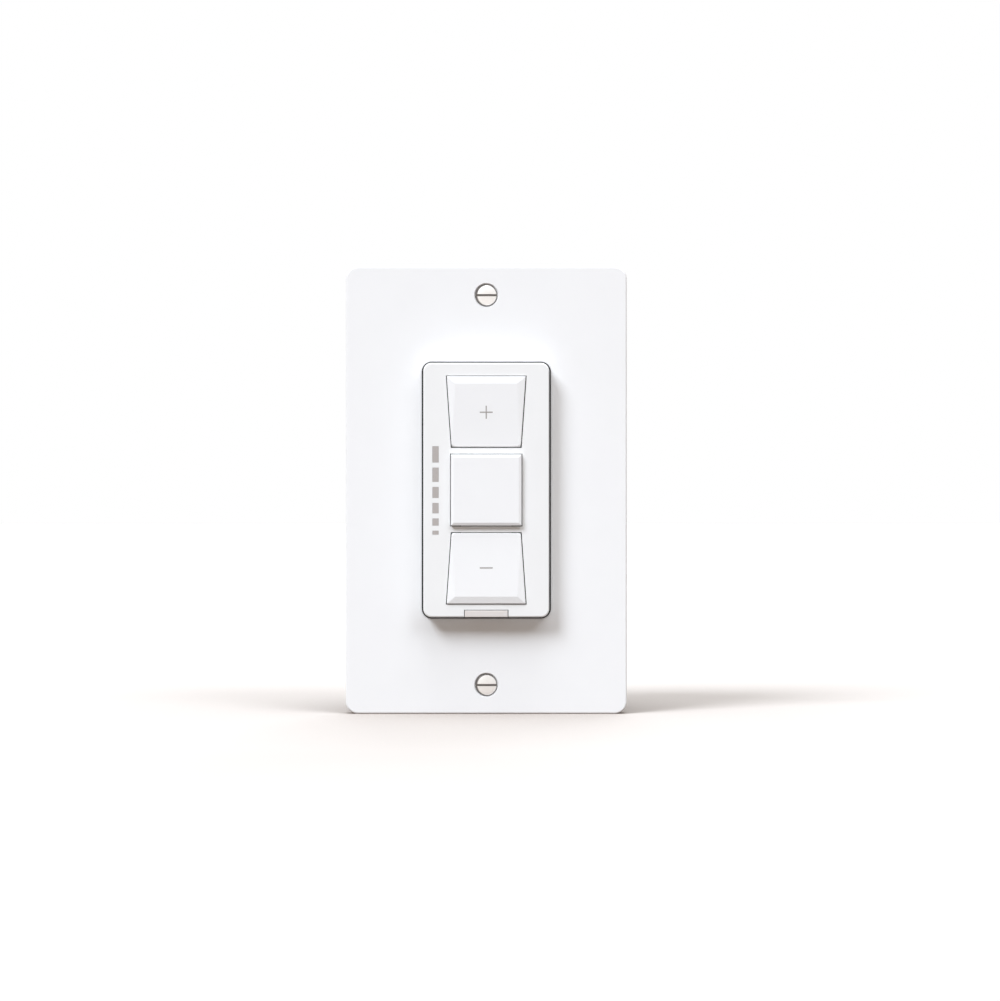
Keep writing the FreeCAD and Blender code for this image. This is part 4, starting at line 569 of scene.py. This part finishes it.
def key_rise(x, z, rises):
    """How far a key's front stands over the face: the least of its main slope, end bevel and side bevel."""
    inner, ridge, outer = rises
    main_slope = inner + (ridge - inner) * (z - KEY_INNER_Z) / (KEY_RIDGE_Z - KEY_INNER_Z)
    end_bevel = outer + (ridge - outer) * (KEY_OUTER_Z - z) / (KEY_OUTER_Z - KEY_RIDGE_Z)
    foot = Vector((KEY_INNER_X, inner, KEY_INNER_Z))
    along_ridge = Vector((KEY_RIDGE_X, ridge, KEY_RIDGE_Z)) - foot
    along_edge = Vector((KEY_OUTER_X, outer, KEY_OUTER_Z)) - foot
    normal = along_ridge.cross(along_edge)
    side_bevel = foot.y - (normal.x * (x - foot.x) + normal.z * (z - foot.z)) / normal.y
    return min(main_slope, end_bevel, side_bevel)


def flatter_key(key_name):
    """The CAD key with its front lowered to the shallower slopes that the photograph's even shading shows."""
    def build(shape):
        shape.from_mesh(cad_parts[key_name].data)
        for vert in shape.verts:
            x = abs(vert.co.x) / MM
            z = abs(vert.co.z) / MM
            if vert.co.y / MM < FACE_FRONT:
                drop = key_rise(x, z, CAD_KEY_RISES) - key_rise(x, z, SEEN_KEY_RISES)
                vert.co.y += drop * MM
    return build


def mark_strokes(key, z, strokes):
    """Printed strokes that lie on the key's sloping front, found by looking at the key from ahead."""
    def front_at(x, height):
        start = Vector((x, AHEAD_OF_KEYS, height)) * MM
        return key.ray_cast(start, Vector((0, 1, 0)))[1].y

    def build(shape):
        for left, right, low, high in strokes:
            corners = [(left, z + low), (right, z + low), (right, z + high), (left, z + high)]
            skin = []
            base = []
            for x, height in corners:
                y = front_at(x, height)
                skin.append(shape.verts.new((x * MM, y - MARK_THICKNESS * MM, height * MM)))
                base.append(shape.verts.new((x * MM, y + MARK_THICKNESS * MM, height * MM)))
            shape.faces.new(skin)
            shape.faces.new(base)
            for i in range(4):
                j = (i + 1) % 4
                shape.faces.new((skin[i], skin[j], base[j], base[i]))
    return build


cone_end = PLATE_FRONT + PLATE_SCREW_CONE_END
plate_screws = new_piece(
    "plate_screws_threaded", threaded_screws("plate_screws", PLATE_SCREW_Z, cone_end), nickel, "dimmer")
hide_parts("plate_screws")
box_screws = new_piece(
    "box_screws_threaded", threaded_screws("box_screws", BOX_SCREW_Z, BOX_SCREW_NECK_END),
    zinc_screws, "dimmer")
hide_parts("box_screws")

plus_front = new_piece("plus_key_flatter", flatter_key("plus_key"), key_white, "plus_key")
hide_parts("plus_key")
minus_front = new_piece("minus_key_flatter", flatter_key("minus_key"), key_white, "minus_key")
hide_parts("minus_key")

half = MARK_STROKE / 2
level_stroke = (-MARK_REACH, MARK_REACH, -half, half)
upper_stroke = (-half, half, half, MARK_REACH)
lower_stroke = (-half, half, -MARK_REACH, -half)
new_piece(
    "plus_mark", mark_strokes(plus_front, MARK_Z, [level_stroke, upper_stroke, lower_stroke]),
    grey_ink, "plus_key")
new_piece("minus_mark", mark_strokes(minus_front, -MARK_Z, [level_stroke]), grey_ink, "minus_key")


# Camera, floor and light

def level_camera():
    """The camera as the photograph was taken: level with the switch and close to its middle."""
    data = bpy.data.cameras.new("camera")
    data.sensor_width = SENSOR_WIDTH
    data.lens = SENSOR_WIDTH * CAMERA_DISTANCE / (FRAME_PIXELS * PIXEL)
    data.clip_start = CLIP_START * MM
    data.clip_end = CLIP_END * MM
    camera = put_in_scene("camera", data)
    camera.location = (CAMERA_X * MM, (PLATE_FRONT - CAMERA_DISTANCE) * MM, CAMERA_Z * MM)
    camera.rotation_euler = (math.pi / 2, 0, 0)
    bpy.context.scene.camera = camera


def white_paper():
    """Matt white paper, with shade painted into its colour close to the switch.

    Rays that show the floor see it bright enough to be white where no shadow falls. Other rays see a deeper
    tone, so that it sends only a little light up to the switch."""
    material, tree, output, place = new_material("white_paper_floor")
    # Painted shade: an ambient occlusion node darkens the floor's colour towards warm #7C6D62 close to the
    # switch
    open_air = add_node(
        tree, "ShaderNodeAmbientOcclusion", {"Distance": FLOOR_SHADE_REACH * MM, "samples": 6})
    tone = add_node(
        tree, "ShaderNodeMix", {"data_type": "RGBA", 6: linear("#7C6D62"), 7: linear("#D1CDC9")},
        {0: open_air.outputs["AO"]})
    seen = add_node(tree, "ShaderNodeBsdfDiffuse", None, {"Color": tone.outputs[2]})
    lit = add_node(tree, "ShaderNodeBsdfDiffuse", {"Color": linear("#7A706A")})
    ray = add_node(tree, "ShaderNodeLightPath")
    direct = add_node(
        tree, "ShaderNodeMath", {"operation": "MAXIMUM"},
        {0: ray.outputs["Is Camera Ray"], 1: ray.outputs["Is Glossy Ray"]})
    shown = add_node(
        tree, "ShaderNodeMath", {"operation": "MAXIMUM"},
        {0: ray.outputs["Is Transmission Ray"], 1: direct.outputs["Value"]})
    mix = add_node(
        tree, "ShaderNodeMixShader", None,
        {0: shown.outputs["Value"], 1: lit.outputs["BSDF"], 2: seen.outputs["BSDF"]})
    tree.links.new(mix.outputs["Shader"], output.inputs["Surface"])
    return material


def white_floor():
    """A square of paper that the switch stands on."""
    reach = FLOOR_REACH * MM
    level = cad_box[0].z
    corners = [(-reach, -reach, level), (reach, -reach, level), (reach, reach, level), (-reach, reach, level)]
    mesh = bpy.data.meshes.new("floor")
    mesh.from_pydata(corners, [], [(0, 1, 2, 3)])
    mesh.materials.append(white_paper())
    put_in_scene("floor", mesh)


def sun(name, strength, spread, azimuth, elevation, colour):
    """A soft lamp far away; azimuth 0 shines from ahead of the switch and 90 from its right."""
    lamp = bpy.data.lights.new(name, "SUN")
    lamp.energy = strength
    lamp.angle = math.radians(spread)
    lamp.color = linear(colour)[:3]
    turn = math.radians(azimuth)
    rise = math.radians(elevation)
    towards = Vector((math.sin(turn) * math.cos(rise), -math.cos(turn) * math.cos(rise), math.sin(rise)))
    holder = put_in_scene(name, lamp)
    holder.rotation_mode = "QUATERNION"
    holder.rotation_quaternion = towards.to_track_quat("Z", "Y")


def studio():
    """A world that lights the switch softly and warmly, and looks white to the camera and in reflections.

    What lies behind the camera is reflected at half that strength, as a room darker than the backdrop."""
    world = bpy.data.worlds.new("studio")
    world.use_nodes = True
    bpy.context.scene.world = world
    tree = world.node_tree
    tree.nodes.clear()
    output = add_node(tree, "ShaderNodeOutputWorld")
    ambient = add_node(tree, "ShaderNodeBackground", {"Color": linear("#FFEACF"), "Strength": 0.26})
    backdrop = add_node(tree, "ShaderNodeBackground", {"Color": linear("#FFFFFF"), "Strength": 1.0})
    ray = add_node(tree, "ShaderNodeLightPath")
    direction = add_node(tree, "ShaderNodeTexCoord")
    axes = add_node(tree, "ShaderNodeSeparateXYZ", None, {"Vector": direction.outputs["Generated"]})
    room = add_node(
        tree, "ShaderNodeMapRange", {"From Min": -0.95, "From Max": -0.3, "To Min": 0.5, "To Max": 1.0},
        {"Value": axes.outputs["Y"]})
    mirrored = add_node(
        tree, "ShaderNodeMath", {"operation": "MULTIPLY"},
        {0: ray.outputs["Is Glossy Ray"], 1: room.outputs["Result"]})
    direct = add_node(
        tree, "ShaderNodeMath", {"operation": "MAXIMUM"},
        {0: ray.outputs["Is Camera Ray"], 1: mirrored.outputs["Value"]})
    shown = add_node(
        tree, "ShaderNodeMath", {"operation": "MAXIMUM"},
        {0: ray.outputs["Is Transmission Ray"], 1: direct.outputs["Value"]})
    mix = add_node(
        tree, "ShaderNodeMixShader", None,
        {0: shown.outputs["Value"], 1: ambient.outputs["Background"], 2: backdrop.outputs["Background"]})
    tree.links.new(mix.outputs["Shader"], output.inputs["Surface"])


level_camera()
white_floor()
sun("left_light", 3.04, 26, -43, 44, "#F2F7FF")
sun("right_light", 0.95, 26, 40, 42, "#F2F7FF")
sun("top_light", 1.7, 34, 10, 76, "#F6F9FF")
sun("back_light", 1.8, 40, 172, 22, "#F2F7FF")
studio()

bpy.context.scene.view_settings.view_transform = "Standard"
